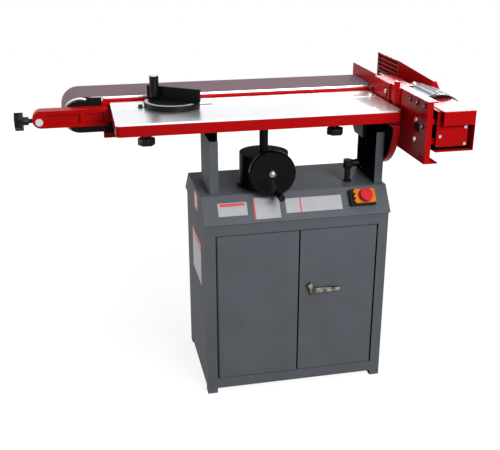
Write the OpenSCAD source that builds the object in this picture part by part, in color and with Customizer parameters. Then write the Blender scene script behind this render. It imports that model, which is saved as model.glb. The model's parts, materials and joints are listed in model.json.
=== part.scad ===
// Edge sander: floor-standing machine with a tilting abrasive belt head,
// a lifting table and a cabinet stand.
// Origin on the floor under the middle of the cabinet, +Z up, operator stands at -Y.

/* [Cabinet] */
// Width of the cabinet
cab_w = 510; // [480:1:540]
// Depth of the cabinet
cab_d = 330; // [310:1:350]
// Height of the cabinet up to the hood
cab_h = 511; // [490:1:540]
// Thickness of the cabinet sheet
sheet = 2; // [1.5:0.1:3]
// Height of the corner feet below the bottom rail
foot_h = 15; // [10:1:20]
// Width of the stiles beside the doors and of the feet
stile_w = 28; // [24:1:34]
// Height of the doors' lower edge above the floor
door_bottom = 48; // [40:1:60]
// Height of the rail between the doors and the hood
door_rail = 34; // [30:1:60]
// Depth of the folded door pans
door_t = 16; // [14:1:20]
// Sideways place of the split between the doors
door_split = 4; // [-10:1:10]
// Radius of the anchor holes in the feet
anchor_r = 5.5; // [4:0.5:6.5]

/* [Hood] */
// Height of the sloped hood
hood_h = 66; // [60:1:75]
// How far the front slopes back
hood_front_run = 50; // [40:1:55]
// How far the rear slopes forward
hood_rear_run = 71; // [60:1:80]
// Thickness of the hood sheet
hood_sheet = 2.5; // [2:0.1:4]

/* [Posts] */
// Width of a post seen from the front
post_w = 23; // [21:0.5:26]
// Depth of a post
post_d = 147; // [135:1:150]
// Height of the posts above the hood
post_h = 145; // [140:1:160]
// Distance between the posts' outer faces
post_span = 482; // [470:1:490]
// Sheet thickness of the posts
post_wall = 3; // [2:0.1:4]

/* [Table] */
// Length of the table
table_l = 740; // [700:1:800]
// Width of the table
table_w = 256; // [245:1:260]
// Thickness of the ground table plate
plate_t = 5; // [4.5:0.1:6]
// Height of the folded apron below the plate
apron_h = 28; // [24:1:32]
// Width of the mitre slot
slot_w = 12; // [10:0.5:14]
// Depth of the mitre slot
slot_depth = 3.2; // [2.8:0.1:3.8]
// Travel of the table lift
lift_travel = 100; // [80:1:105]

/* [Lift] */
// Radius of the round lift housing
column_r = 67; // [60:1:70]
// Height of the lift housing
column_h = 91; // [88:1:100]
// Radius of the lift screw
screw_r = 12; // [10:0.5:13]
// Radius of the handwheel
wheel_r = 63; // [58:1:66]

/* [Belt head] */
// Width of the abrasive belt
belt_w = 150; // [140:1:155]
// Thickness of the abrasive belt
belt_t = 1.5; // [1:0.1:2]
// Diameter of the two drums
drum_d = 96; // [92:1:98]
// Height of the belt above the table
belt_rise = 15; // [13:0.5:18]
// Thickness of the platen behind the belt
platen_t = 6; // [5:0.5:8]
// Sheet and casting thickness of the head beam
beam_t = 5; // [4:0.5:6]

/* [Drive] */
// Distance from the drive drum's axis to the motor's axis
motor_offset = 88; // [84:1:92]
// Radius of the motor over its fins
motor_r = 68; // [62:1:70]
// Length of the finned motor body
motor_l = 155; // [140:1:158]
// Outer radius of the dust spigot
spigot_r = 50; // [45:1:52]
// Length of the dust spigot
spigot_l = 40; // [30:1:60]

/* [Mitre gauge] */
// Radius of the half-round head
mitre_r = 77; // [70:1:80]
// Height of the fence above the table
fence_h = 49; // [40:1:60]
// Turn of the fence away from the slot
fence_turn = 36; // [30:1:45]

/* [Hidden] */
$fn = 64;

// Finishes
red = "#b3151b";
grey = "#7f8386";
black = "#1b1b1d";
steel = "#c4c7c9";
brass = "#b08d3e";
abrasive = "#5c4540";

// Shared clearances and the overrun of every cut
run = 0.05;
seat = 0.02;
air = 0.3;
over = 1;
clear = 1;

// Cabinet
foot_sheet = 3;
foot_inset = 14;
door_gap = 2.5;
door_meet = 4.5;
pin_in = 6;
pin_r = 3;
pin_l = 18;
pin_reach = 8;
cab_x = cab_w / 2;
cab_y = cab_d / 2;
door_top = cab_h - door_rail;
door_left = -cab_x + stile_w + door_gap;
door_right = cab_x - stile_w - door_gap;
pin_y = -cab_y + pin_in;

// Door handle on the right door, its shaft through the door and the latch cam behind it
handle_from_split = 39;
handle_from_top = 176;
handle_hub_r = 10;
handle_hub_l = 12;
handle_arm = 77;
handle_arm_h = 14;
handle_arm_t = 7;
handle_wing = 24;
handle_wing_turn = -122;
handle_wing_w = 12;
handle_shaft_r = 5;
cam_t = 4;
cam_w = 18;
cam_l = 52;
cam_gap = 3;
handle_tip_share = 0.25;
handle_edge_share = 0.33;
handle_knee_share = 0.67;
handle_x = door_split + handle_from_split;
handle_z = door_top - handle_from_top;

// Hood: a folded sheet whose side profile is a trapezium
hood_lip = 5;
hood_top = cab_h + hood_h;
hood_x = cab_x + hood_lip;
hood_y = cab_y + hood_lip;
hood_slope = atan(hood_front_run / hood_h);
hood_top_y0 = -hood_y + hood_front_run;
hood_top_y1 = hood_y - hood_rear_run;

// Switch on the sloped front, drawn flat and then laid on the slope
switch_x = 182;
switch_rise = 38;
switch_w = 71;
switch_h = 45;
switch_t = 14;
switch_wall = 4;
flap_w = 56;
flap_h = 39;
flap_margin = 3;
flap_t = 9;
flap_wall = 2;
knuckle_pitch_share = 0.33;
knuckle_share = 0.17;
stop_r = 19;
stop_t = 9;
stop_stem_r = 6;
stop_travel = 4;
start_r = 8;
start_t = 6;
flap_x0 = switch_w / 2 - flap_margin - flap_w;

// Posts and their feet
post_shift = 11;
post_setback = 11;
post_foot_t = 4;
post_bolt_in = 16;
hex_sides = 6;
post_bolt_r = 7;
post_bolt_h = 6;
post_y0 = hood_top_y0 + post_setback;
post_y1 = post_y0 + post_d;
post_mid_y = (post_y0 + post_y1) / 2;
post_top = hood_top + post_h;
post_left_x = post_shift - post_span / 2;
post_right_x = post_shift + post_span / 2 - post_w;

// Table, worked out from the posts that stand under it
table_right_reach = 18;
table_post_gap = 41;
table_front_reach = 65;
table_corner_r = 12;
apron_t = 3;
slot_from_front = 178;
table_z = post_top + table_post_gap + apron_h + plate_t;
table_x1 = post_right_x + post_w + table_right_reach;
table_x0 = table_x1 - table_l;
table_y0 = post_y0 - table_front_reach;
table_y1 = table_y0 + table_w;
plate_z0 = table_z - plate_t;
apron_z0 = plate_z0 - apron_h;
slot_y = table_y0 + slot_from_front;
slot_z = table_z - slot_depth;

// Saddle under the table with the bars that slide in the posts
saddle_t = 8;
saddle_front = 100;
saddle_margin = 14;
bar_play = 1.5;
bar_d = 80;
bar_inset = 9;
bar_l = 183;
lug_w = 24;
lug_gap = 2;
lug_drop = 32;
saddle_z0 = plate_z0 - saddle_t;

// Knobs under the table
knob_r = 22;
knob_h = 17;
knob_drop = 18;
knob_stem_r = 5;
knob_boss_r = 12;
knob_boss_h = 16;
knob_lobes = 6;
knob_lobe_r = 5;
knob_from_end = 78;
knob_from_right = 164;
knob_from_front = 54;
knob_left_x = table_x0 + knob_from_end;
knob_right_x = table_x1 - knob_from_right;
knob_y = table_y0 + knob_from_front;

// Lift housing, bevel pair and handwheel
column_x = -69;
column_forward = 5.5;
column_y = post_mid_y - column_forward;
column_foot_w = 5;
column_foot_r = column_r + column_foot_w;
column_foot_t = 8;
column_floor = 14;
column_cap = 8;
column_bore_r = 50;
wheel_rise = 58;
wheel_front = 12;
wheel_t = 18;
wheel_rim = 14;
wheel_hub_r = 17;
wheel_collar = 23;
wheel_dish = 8;
wheel_dome_r = 12;
wheel_edge_share = 0.25;
wheel_lip_share = 0.33;
wheel_shaft_r = 8;
bevel_near = 15;
bevel_far = 24;
bevel_gap = 0.4;
screw_held = 43;
grip_radius = 54;
grip_turn = -75;
grip_r = 9;
grip_l = 42;
grip_pin_r = 4;
grip_cap = 5;
wheel_z = hood_top + wheel_rise;
wheel_y1 = hood_top_y0 - wheel_front;
wheel_y0 = wheel_y1 - wheel_t;
grip_x = column_x + grip_radius * cos(grip_turn);
grip_z = wheel_z + grip_radius * sin(grip_turn);

// Locking lever on the hood
lock_from_post = 65;
lock_x = post_right_x - lock_from_post;
lock_y = -68;
lock_foot_r = 12;
lock_foot_h = 6;
lock_stud_r = 8;
lock_stud_h = 50;
lock_hub_r = 12;
lock_hub_h = 24;
lock_arm = 26;
lock_arm_r = 10;
lock_ball_r = 11;

// Belt loop
belt_setback = 16;
idler_reach = 81;
drive_reach = 30;
drum_r = drum_d / 2;
belt_in_r = drum_r + air;
belt_out_r = belt_in_r + belt_t;
belt_z = table_z + belt_rise;
axis_z = belt_z - belt_out_r;
belt_y0 = table_y1 + belt_setback;
belt_y1 = belt_y0 + belt_w;
idler_x = table_x0 - idler_reach;
drive_x = table_x1 + drive_reach;
drum_in = 1;
drum_y0 = belt_y0;
drum_y1 = belt_y1 - drum_in;
drum_wall = 6;
drum_hub_r = 20;
drum_recess = 24;
idler_shaft_r = 10;
drive_shaft_r = 9;

// Head beam: a front plate behind the table and a flange under the platen
beam_gap = 2;
beam_below = 66;
beam_left_reach = 60;
beam_right_reach = 30;
platen_left_run = 15;
platen_right_run = 13;
platen_front = 3;
flange_back = 8;
platen_z1 = axis_z + drum_r;
platen_z0 = platen_z1 - platen_t;
flange_z0 = platen_z0 - beam_t;
beam_y1 = belt_y0 - beam_gap;
beam_y0 = beam_y1 - beam_t;
beam_z0 = axis_z - beam_below;
beam_x0 = idler_x + beam_left_reach;
beam_x1 = drive_x + beam_right_reach;
platen_x0 = idler_x + drum_r + platen_left_run;
platen_x1 = drive_x - drum_r - platen_right_run;

// Tilt pivot inside the loop, near the belt's front edge
pivot_in = 30;
pivot_drop = 31;
pivot_r = 8;
pivot_proud = 3;
eye_r = 12;
ear_t = 10;
trunnion_t = 12;
trunnion_gap = 2;
trunnion_arm_h = 20;
trunnion_arm_rise = 5;
trunnion_pad_h = 60;
trunnion_pad_d = 70;
notch_side = 4;
pivot_y = belt_y0 + pivot_in;
pivot_z = belt_z - pivot_drop;
trunnion_z0 = axis_z - belt_in_r + trunnion_arm_rise;
trunnion_right_x = post_right_x - trunnion_t;
trunnion_left_x = post_left_x + post_w;
ear_right_x = trunnion_right_x - trunnion_gap - ear_t;
ear_left_x = trunnion_left_x + trunnion_t + trunnion_gap;
notch_z1 = pivot_z + eye_r + trunnion_gap;

// Round plate by the right post
quadrant_r = 130;
quadrant_t = 17;
quadrant_wall = 5;
quadrant_web = 4;
quadrant_drop = 10;
quadrant_gap = 2;
quadrant_y = beam_y0 - quadrant_gap - quadrant_r;
quadrant_z = apron_z0 - quadrant_drop;

// Tension arm at the left end, with the sliding idler block and its screw
arm_front = 45;
arm_back = 5;
arm_down = 20;
arm_up = 26;
arm_left = 125;
arm_right = 73;
arm_recess = 8;
arm_recess_rim = 10;
arm_recess_from_end = 36;
arm_bolt_from_end = 18;
arm_bolt_up = 18;
arm_bolt_r = 10;
block_x0_back = 39;
block_x1_front = 39;
block_h = 15;
block_wall = 10;
tension_travel = 12;
rod_r = 6;
rod_end_gap = 2;
rod_drop = 3;
loop_cover_r = 44;
loop_cover_fore = 2;
loop_cover_drop = 4;
loop_cover_t = 3;
rod_stand = 24;
star_r = 25;
star_t = 22;
star_hub_r = 11;
star_hub_l = 14;
star_lobes = 7;
star_lobe_r = 6;
arm_y0 = beam_y0 - arm_front;
arm_y1 = beam_y0 - arm_back;
arm_x0 = idler_x - arm_left;
arm_x1 = idler_x + arm_right;
arm_z0 = axis_z - arm_down;
arm_z1 = axis_z + arm_up;
arm_end_r = (arm_z1 - arm_z0) / 2;
rod_y = (arm_y0 + block_wall + arm_y1) / 2;
loop_cover_x = idler_x + loop_cover_fore;
loop_cover_z = axis_z - loop_cover_drop;
rod_z = axis_z - rod_drop;

// Drive housing, bearings, pulleys and drive belt
housing_l = 33;
housing_side = 24;
housing_right = 60;
housing_down = 61;
housing_up = 36;
housing_crest = 23;
bearing_r = 20;
bearing_w = 14;
pulley_w = 24;
pulley_gap = 6;
pulley_rim = 2;
pulley_r = 20;
vee_t = 4;
vee_w = 20;
housing_y1 = beam_y0;
housing_y0 = housing_y1 - housing_l;
housing_x0 = drive_x - housing_side;
housing_x1 = drive_x + housing_right;
pulley_y1 = housing_y0 - pulley_gap;
pulley_y0 = pulley_y1 - pulley_w;
motor_x = drive_x + motor_offset;
fin_count = 24;
fin_h = 5;
fin_w = 3;
motor_gap = 8;
motor_y1 = pulley_y0 - motor_gap;
motor_y0 = motor_y1 - motor_l;
motor_cavity_r = 38;
motor_end = 12;
rotor_r = 34;
ring_l = 22;
ring_in = 2;
front_from_pan = 31;
front_l = 128;
front_w = 86;
front_h = 92.5;
front_down = 38;
front_wall = 3;
front_bolt_in = 9;
front_bolt_drop = 9.5;
front_bolt_up = 21.5;
foot_block_h = 14;
foot_block_in = 12;
cover_sheet = 2;
cover_side = 7;
cover_left_in = 9;
cover_left_out = 8;
cover_under = 6;
cover_reach = 18;
cover_lip = 34;
front_y1 = motor_y0 - ring_l;
front_y0 = front_y1 - front_l;
front_z0 = axis_z - front_down;
front_z1 = front_z0 + front_h;

// Pan that carries the motor, the bracket behind it and the work stop
stop_sheet = 4;
pan_t = 3;
pan_l = 193;
pan_h = 159;
pan_up = 82;
pan_top_flange = 28;
pan_front_flange = 16;
pan_bottom_flange = 38;
pan_front_reach = 12;
pan_slot_w = 32;
pan_slot_h = 25;
pan_slot_r = 6;
pan_slot_in = 58;
pan_slot_up = 6;
pan_hole_r = 5;
pan_hole_in = 25;
pan_hole_up = 13;
pan_row_in = 21;
pan_row_pitch = 44;
pan_row_drop = 15;
pan_side_in = 24;
pan_side_up = 15;
pan_bolt_up = 25;
bracket_t = 4;
bracket_w = 45;
bracket_h = 46;
bracket_overlap = 20;
bead_r = 12;
bead_proud = 15;
stop_gap = 2;
stop_rise = 2.5;
stop_h = 36;
stop_leg = 118;
stop_bolt_in = 17;
stop_bolt_up = 6.5;
stop_leg_drop = 35;
stop_leg_top = 6.5;
stop_lift = 15;
stop_bolt_r = 4;
bracket_x = housing_x0 + stop_sheet;
pan_x = bracket_x + bracket_t;
front_x0 = pan_x + pan_t + front_from_pan;
front_x1 = front_x0 + front_w;
pan_y0 = front_y0 - pan_front_reach;
pan_y1 = pan_y0 + pan_l;
pan_z1 = axis_z + pan_up;
pan_z0 = pan_z1 - pan_h;
pan_slot_y = pan_y0 + pan_slot_in;
bracket_z0 = axis_z + housing_up;
bracket_z1 = bracket_z0 + bracket_h;
stop_z0 = belt_z + stop_rise;
stop_z1 = stop_z0 + stop_h;
stop_y0 = housing_y0 - stop_leg;
stop_bolt_y = stop_y0 + stop_bolt_in;
stop_bolt_z = stop_z0 + stop_bolt_up;

// Guard wall past the drive drum, with louvres and the dust spigot
guard_t = 3;
guard_rear = 7;
guard_below = 61;
guard_up = 65;
guard_drop = 31;
guard_gap = 1;
guard_flange = 11;
guard_flange_low = 23;
guard_flange_dip = 9;
guard_over_belt = 10;
guard_splay = 40;
guard_front_l = 71;
guard_louvre_end = 9;
louvre_count = 5;
louvre_h = 8.5;
louvre_pitch = 12.5;
louvre_top = 4;
louvre_margin = 4;
spigot_wall = 2;
guard_x = housing_x1;
guard_y1 = belt_y1 + guard_rear;
guard_z1 = belt_z + guard_up;
guard_z0 = axis_z - guard_below;
guard_front_y = motor_y0 + guard_front_l;
guard_tip_x = guard_x + guard_splay;
guard_bend_y = belt_y0 - guard_louvre_end;
guard_low_z = axis_z + motor_r + guard_gap;
guard_drive_z = axis_z + pulley_r + vee_t + guard_over_belt;

// Mitre gauge
mitre_from_end = 163;
mitre_x = table_x0 + mitre_from_end;
mitre_bar_l = 199;
mitre_bar_back = 92;
mitre_bar_play = 0.2;
mitre_bar_t = 2.9;
mitre_block_l = 11;
mitre_block_h = 7;
mitre_lift = 0.6;
mitre_t = 14;
mitre_pin_r = 4;
fence_t = 8;
fence_overhang = 2;
mitre_knob_r = 12.5;
mitre_knob_h = 56;
mitre_knob_taper = 1;
mitre_knob_neck_r = 6;
mitre_knob_along = 48;
mitre_knob_off = 13;
mitre_knob_neck_h = 8;
mitre_z0 = table_z + mitre_lift;
mitre_z1 = mitre_z0 + mitre_t;
mitre_knob_x = mitre_x - mitre_knob_along * cos(fence_turn) - mitre_knob_off * sin(fence_turn);
mitre_knob_y = slot_y + mitre_knob_along * sin(fence_turn) - mitre_knob_off * cos(fence_turn);

// Bolt heads
bolt_r = 6;
bolt_h = 5;
small_bolt_r = 4;
small_bolt_h = 3;

// A box between two corners
module block(a, b) {
    translate(a) cube(b - a);
}

// Round bars along the three axes, from one place to another
module bar_x(r, x0, x1, y, z) {
    translate([x0, y, z]) rotate([0, 90, 0]) cylinder(r = r, h = x1 - x0);
}

module bar_y(r, x, y0, y1, z) {
    translate([x, y1, z]) rotate([90, 0, 0]) cylinder(r = r, h = y1 - y0);
}

module bar_z(r, x, y, z0, z1) {
    translate([x, y, z0]) cylinder(r = r, h = z1 - z0);
}

// Rectangle with round corners, its lower left corner at the origin
module round_rectangle(w, d, r) {
    translate([r, 0]) square([w - 2 * r, d]);
    translate([0, r]) square([w, d - 2 * r]);
    for (x = [r, w - r], y = [r, d - r]) translate([x, y]) circle(r = r);
}

// Slot shape with round ends, centred, its length along the second axis
module long_hole(w, h) {
    square([w, h - w], center = true);
    for (s = [-1, 1]) translate([0, s * (h - w) / 2]) circle(r = w / 2);
}

// Closed loop section round two equal wheels, drawn in the X-Z plane
module loop_outline(x0, x1, r) {
    for (x = [x0, x1]) translate([x, 0]) circle(r = r);
    translate([x0, -r]) square([x1 - x0, 2 * r]);
}

// Extrudes an X-Z outline along Y, and a Y-Z outline along X
module along_y(y0, y1) {
    translate([0, y1, 0]) rotate([90, 0, 0]) linear_extrude(y1 - y0) children();
}

module along_x(x0, x1) {
    translate([x0, 0, 0]) rotate([90, 0, 90]) linear_extrude(x1 - x0) children();
}

// Knob outline: a disc with lobes round its edge
module lobed(r, lobes, lobe_r) {
    circle(r = r - lobe_r / 2);
    for (i = [0 : lobes - 1]) rotate(i * 360 / lobes) translate([r - lobe_r, 0]) circle(r = lobe_r);
}

// Puts a shape that is drawn flat onto the hood's sloped front, at the switch
module on_slope() {
    translate([switch_x, -hood_y + switch_rise * hood_front_run / hood_h, cab_h + switch_rise])
        rotate([90 - hood_slope, 0, 0]) children();
}

module cabinet() {
    color(grey) difference() {
        union() {
            difference() {
                block([-cab_x, -cab_y, foot_h], [cab_x, cab_y, cab_h]);
                block([-cab_x + sheet, -cab_y + sheet, foot_h + sheet],
                    [cab_x - sheet, cab_y - sheet, cab_h - sheet]);
                block([-cab_x + stile_w, -cab_y - over, door_bottom - door_gap],
                    [cab_x - stile_w, -cab_y + sheet + over, door_top + door_gap]);
            }
            for (x = [-1, 1], y = [-1, 1]) corner_foot(x, y);
            for (z = [door_bottom - door_gap - sheet, door_top + door_gap]) hinge_rail(z);
        }
        for (x = [door_left + pin_in, door_right - pin_in]) {
            bar_z(pin_r + seat, x, pin_y, door_bottom - pin_l, door_bottom);
            bar_z(pin_r + seat, x, pin_y, door_top, door_top + pin_l);
        }
        for (x = [-1, 1], y = [-1, 1])
            bar_z(anchor_r, x * (cab_x - foot_inset), y * (cab_y - foot_inset), -over, foot_sheet + over);
        bar_z(screw_r + clear, column_x, column_y, cab_h - sheet - over, cab_h + over);
    }
}

module corner_foot(x, y) {
    intersection() {
        translate([x * cab_x, y * cab_y, 0]) translate([-stile_w, -stile_w, 0])
            cube([2 * stile_w, 2 * stile_w, foot_h]);
        difference() {
            block([-cab_x, -cab_y, 0], [cab_x, cab_y, foot_h]);
            block([-cab_x + sheet, -cab_y + sheet, foot_sheet],
                [cab_x - sheet, cab_y - sheet, foot_h + over]);
        }
    }
}

// Folded rail above and below the doors that the hinge pins sit in
module hinge_rail(z) {
    block([-cab_x + sheet, -cab_y + sheet, z], [cab_x - sheet, -cab_y + door_t, z + sheet]);
}

module hinge_pins() {
    color(steel) for (x = [door_left + pin_in, door_right - pin_in]) {
        bar_z(pin_r, x, pin_y, door_bottom - pin_reach, door_bottom + pin_reach);
        bar_z(pin_r, x, pin_y, door_top - pin_reach, door_top + pin_reach);
    }
}

// Folded door pan between two sides, hinged at the side given, with its hinge edge rounded about the pin
module door_pan(x0, x1, hinge) {
    pin_x = hinge < 0 ? x0 + pin_in : x1 - pin_in;
    free_x = hinge < 0 ? x1 : x0;
    y0 = -cab_y;
    difference() {
        union() {
            block([min(pin_x, free_x), y0, door_bottom], [max(pin_x, free_x), y0 + door_t, door_top]);
            block([min(pin_x, hinge < 0 ? x0 : x1), pin_y, door_bottom],
                [max(pin_x, hinge < 0 ? x0 : x1), y0 + door_t, door_top]);
            bar_z(pin_in, pin_x, pin_y, door_bottom, door_top);
        }
        block([x0 + 2 * pin_in, y0 + sheet, door_bottom + sheet],
            [x1 - 2 * pin_in, y0 + door_t + over, door_top - sheet]);
        bar_z(pin_r + run, pin_x, pin_y, door_bottom - over, door_bottom + pin_reach + over);
        bar_z(pin_r + run, pin_x, pin_y, door_top - pin_reach - over, door_top + over);
    }
}

module left_door() {
    color(grey) door_pan(door_left, door_split - door_meet / 2, -1);
}

module right_door() {
    color(grey) difference() {
        door_pan(door_split + door_meet / 2, door_right, 1);
        bar_y(handle_shaft_r + run, handle_x, -cab_y - over, -cab_y + sheet + over, handle_z);
    }
}

module door_handle() {
    color(steel) {
        bar_y(handle_hub_r, handle_x, -cab_y - air - handle_hub_l, -cab_y - air, handle_z);
        bar_y(handle_shaft_r, handle_x, -cab_y - air, -cab_y + door_t + cam_gap, handle_z);
        translate([handle_x, -cab_y - air - handle_hub_l, handle_z]) rotate([-90, 0, 0])
            linear_extrude(handle_arm_t)
            handle_outline();
    }
}

// Lever to the right and a short wing up to the left, seen from the front with Z downwards
module handle_outline() {
    polygon([[0, -handle_arm_h / 2], [handle_arm, -handle_arm_h * handle_tip_share],
        [handle_arm, handle_arm_h * handle_edge_share],
            [handle_arm * handle_knee_share, handle_arm_h / 2],
        [0, handle_arm_h * handle_knee_share]]);
    rotate(handle_wing_turn) translate([0, -handle_wing_w / 2]) square([handle_wing, handle_wing_w]);
}

module latch_cam() {
    y0 = -cab_y + door_t + cam_gap;
    color(steel) {
        block([handle_x - cam_w / 2, y0, handle_z - cam_l], [handle_x + cam_w / 2, y0 + cam_t, handle_z]);
        bar_y(cam_w / 2, handle_x, y0, y0 + cam_t, handle_z);
    }
}

// Side profile of the hood, grown or shrunk by its sheet
module hood_profile(t) {
    polygon([[-hood_y + t, cab_h], [hood_top_y0 + t * tan(hood_slope / 2), hood_top - t],
        [hood_top_y1 - t * tan(hood_slope / 2), hood_top - t], [hood_y - t, cab_h]]);
}

module hood() {
    color(grey) difference() {
        along_x(-hood_x, hood_x) hood_profile(0);
        difference() {
            along_x(-hood_x + hood_sheet, hood_x - hood_sheet) hood_profile(hood_sheet);
            block([-hood_x, -hood_y, cab_h - over], [hood_x, hood_y, cab_h + hood_sheet]);
        }
        bar_z(screw_r + clear, column_x, column_y, cab_h - over, hood_top + over);
    }
}

// Folded post, open towards the other post, with its foot plate inside
module post(x0, inner) {
    web_x0 = inner > 0 ? x0 : x0 + post_w - post_wall;
    foot_x0 = inner > 0 ? x0 + post_wall : x0;
    block([web_x0, post_y0, hood_top], [web_x0 + post_wall, post_y1, post_top]);
    for (y = [post_y0, post_y1 - post_wall])
        block([foot_x0, y, hood_top], [foot_x0 + post_w - post_wall, y + post_wall, post_top]);
    block([foot_x0, post_y0 + post_wall, hood_top],
        [foot_x0 + post_w - post_wall, post_y1 - post_wall, hood_top + post_foot_t]);
}

module left_post() {
    color(grey) post(post_left_x, 1);
}

module right_post() {
    color(grey) post(post_right_x, -1);
}

module post_bolts() {
    color(steel) for (x = [post_left_x, post_right_x],
        y = [post_y0 + post_bolt_in, post_y1 - post_bolt_in])
        translate([x + post_w / 2, y, hood_top + post_foot_t])
            cylinder(r = post_bolt_r, h = post_bolt_h, $fn = hex_sides);
}

module column_housing() {
    color(black) difference() {
        union() {
            bar_z(column_foot_r, column_x, column_y, hood_top, hood_top + column_foot_t);
            bar_z(column_r, column_x, column_y, hood_top, hood_top + column_h);
        }
        bar_z(column_bore_r, column_x, column_y, hood_top + column_floor,
            hood_top + column_h - column_cap);
        bar_z(screw_r + run, column_x, column_y, hood_top - over, hood_top + column_h + over);
        bar_y(wheel_shaft_r + run, column_x, column_y - column_r - over, column_y - column_bore_r + over,
            wheel_z);
    }
}

module lift_screw() {
    color(steel) bar_z(screw_r, column_x, column_y, hood_top + screw_held - lift_travel, saddle_z0);
}

module lift_nut() {
    color(brass) difference() {
        union() {
            translate([column_x, column_y, wheel_z - bevel_far - bevel_gap])
                cylinder(r1 = bevel_far, r2 = bevel_near, h = bevel_far - bevel_near);
            bar_z(bevel_far, column_x, column_y, hood_top + column_floor + air,
                wheel_z - bevel_far - bevel_gap);
        }
        bar_z(screw_r + run, column_x, column_y, hood_top, wheel_z);
    }
}

module wheel_shaft() {
    color(steel) {
        bar_y(wheel_shaft_r, column_x, wheel_y0 + wheel_dish, column_y - bevel_far, wheel_z);
        translate([column_x, column_y - bevel_far - bevel_gap, wheel_z]) rotate([-90, 0, 0])
            cylinder(r1 = bevel_far, r2 = bevel_near, h = bevel_far - bevel_near);
        difference() {
            translate([column_x, wheel_y0 + wheel_dish, wheel_z]) sphere(r = wheel_dome_r);
            block([column_x - 2 * wheel_dome_r, wheel_y0 + wheel_dish, wheel_z - 2 * wheel_dome_r],
                [column_x + 2 * wheel_dome_r, wheel_y1, wheel_z + 2 * wheel_dome_r]);
        }
    }
}

// Dished wheel, turned about its axis, with a collar towards the housing and a pin for the grip
module handwheel() {
    color(black) {
        translate([column_x, wheel_y1, wheel_z]) rotate([90, 0, 0]) rotate_extrude()
            polygon([[wheel_shaft_r + seat, -wheel_collar], [wheel_hub_r, -wheel_collar],
                [wheel_hub_r, 0],
                [wheel_r - wheel_rim, 0], [wheel_r, wheel_t * wheel_edge_share],
                    [wheel_r, wheel_t - wheel_t * wheel_edge_share],
                [wheel_r - wheel_rim * wheel_lip_share, wheel_t], [wheel_r - wheel_rim, wheel_t],
                    [wheel_hub_r, wheel_t - wheel_dish], [wheel_shaft_r + seat, wheel_t - wheel_dish]]);
        bar_y(grip_pin_r, grip_x, wheel_y0 - grip_l + grip_cap, wheel_y0 + wheel_dish, grip_z);
    }
}

module crank_grip() {
    color(black) difference() {
        bar_y(grip_r, grip_x, wheel_y0 - grip_l - air, wheel_y0 - air, grip_z);
        bar_y(grip_pin_r + run, grip_x, wheel_y0 - grip_l + grip_cap - air, wheel_y0, grip_z);
    }
}

module lock_stud() {
    color(black) {
        bar_z(lock_foot_r, lock_x, lock_y, hood_top, hood_top + lock_foot_h);
        bar_z(lock_stud_r, lock_x, lock_y, hood_top, hood_top + lock_stud_h);
    }
}

module lock_lever() {
    z1 = hood_top + lock_stud_h + lock_hub_h / 2;
    color(black) difference() {
        union() {
            bar_z(lock_hub_r, lock_x, lock_y, z1 - lock_hub_h, z1);
            bar_x(lock_arm_r, lock_x, lock_x + lock_arm, lock_y, z1 - lock_ball_r);
            translate([lock_x + lock_arm, lock_y, z1 - lock_ball_r]) sphere(r = lock_ball_r);
        }
        bar_z(lock_stud_r + run, lock_x, lock_y, hood_top, hood_top + lock_stud_h + air);
    }
}

module switch_body() {
    color(black) on_slope() difference() {
        translate([-switch_w / 2, -switch_h / 2, 0]) cube([switch_w, switch_h, switch_t]);
        translate([flap_x0 + flap_wall + air, -flap_h / 2 + flap_wall + air, switch_t - switch_wall])
            cube([flap_w - 2 * flap_wall - 2 * air, flap_h - 2 * flap_wall - 2 * air, switch_t]);
        translate([flap_x0 + flap_w / 2, 0, switch_wall]) cylinder(r = start_r + run, h = switch_t);
    }
}

module switch_flap() {
    color("#e8a11c") on_slope() difference() {
        union() {
            translate([flap_x0, -flap_h / 2, switch_t + air]) cube([flap_w, flap_h, flap_t]);
            for (s = [-1, 0, 1]) translate([flap_x0,
                (s * knuckle_pitch_share - knuckle_share / 2) * flap_h,
                switch_t + air + flap_t / 2]) rotate([-90, 0, 0])
                    cylinder(r = flap_t / 2, h = flap_h * knuckle_share);
        }
        translate([flap_x0 + flap_wall, -flap_h / 2 + flap_wall, switch_t])
            cube([flap_w - 2 * flap_wall, flap_h - 2 * flap_wall,
            flap_t - flap_wall]);
        translate([flap_x0 + flap_w / 2, 0, switch_t]) cylinder(r = stop_stem_r + run, h = 2 * flap_t);
    }
}

module stop_button() {
    z0 = switch_t + air + flap_t;
    color(red) on_slope() translate([flap_x0 + flap_w / 2, 0, 0]) {
        translate([0, 0, z0 + stop_travel + air])
            cylinder(r1 = stop_r, r2 = stop_r - flap_wall, h = stop_t);
        translate([0, 0, z0 - flap_wall - air])
            cylinder(r = stop_stem_r, h = stop_travel + flap_wall + 2 * air);
    }
}

module start_button() {
    color("#2f8f46") on_slope() translate([flap_x0 + flap_w / 2, 0, switch_wall + stop_travel])
        cylinder(r = start_r, h = start_t);
}

module table_top() {
    color(steel) difference() {
        union() {
            translate([table_x0, table_y0, plate_z0]) linear_extrude(plate_t)
                round_rectangle(table_l, table_w, table_corner_r);
            for (x = [knob_left_x, knob_right_x])
                bar_z(knob_boss_r, x, knob_y, plate_z0 - knob_boss_h, plate_z0);
        }
        block([table_x0 - over, slot_y - slot_w / 2, slot_z],
            [table_x1 + over, slot_y + slot_w / 2, table_z + over]);
        for (x = [knob_left_x, knob_right_x])
            bar_z(knob_stem_r + run, x, knob_y, plate_z0 - knob_boss_h - over, plate_z0);
    }
}

module table_apron() {
    color(red) translate([table_x0, table_y0, apron_z0]) linear_extrude(apron_h) difference() {
        round_rectangle(table_l, table_w, table_corner_r);
        translate([apron_t, apron_t])
            round_rectangle(table_l - 2 * apron_t, table_w - 2 * apron_t, table_corner_r - apron_t);
    }
}

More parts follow.
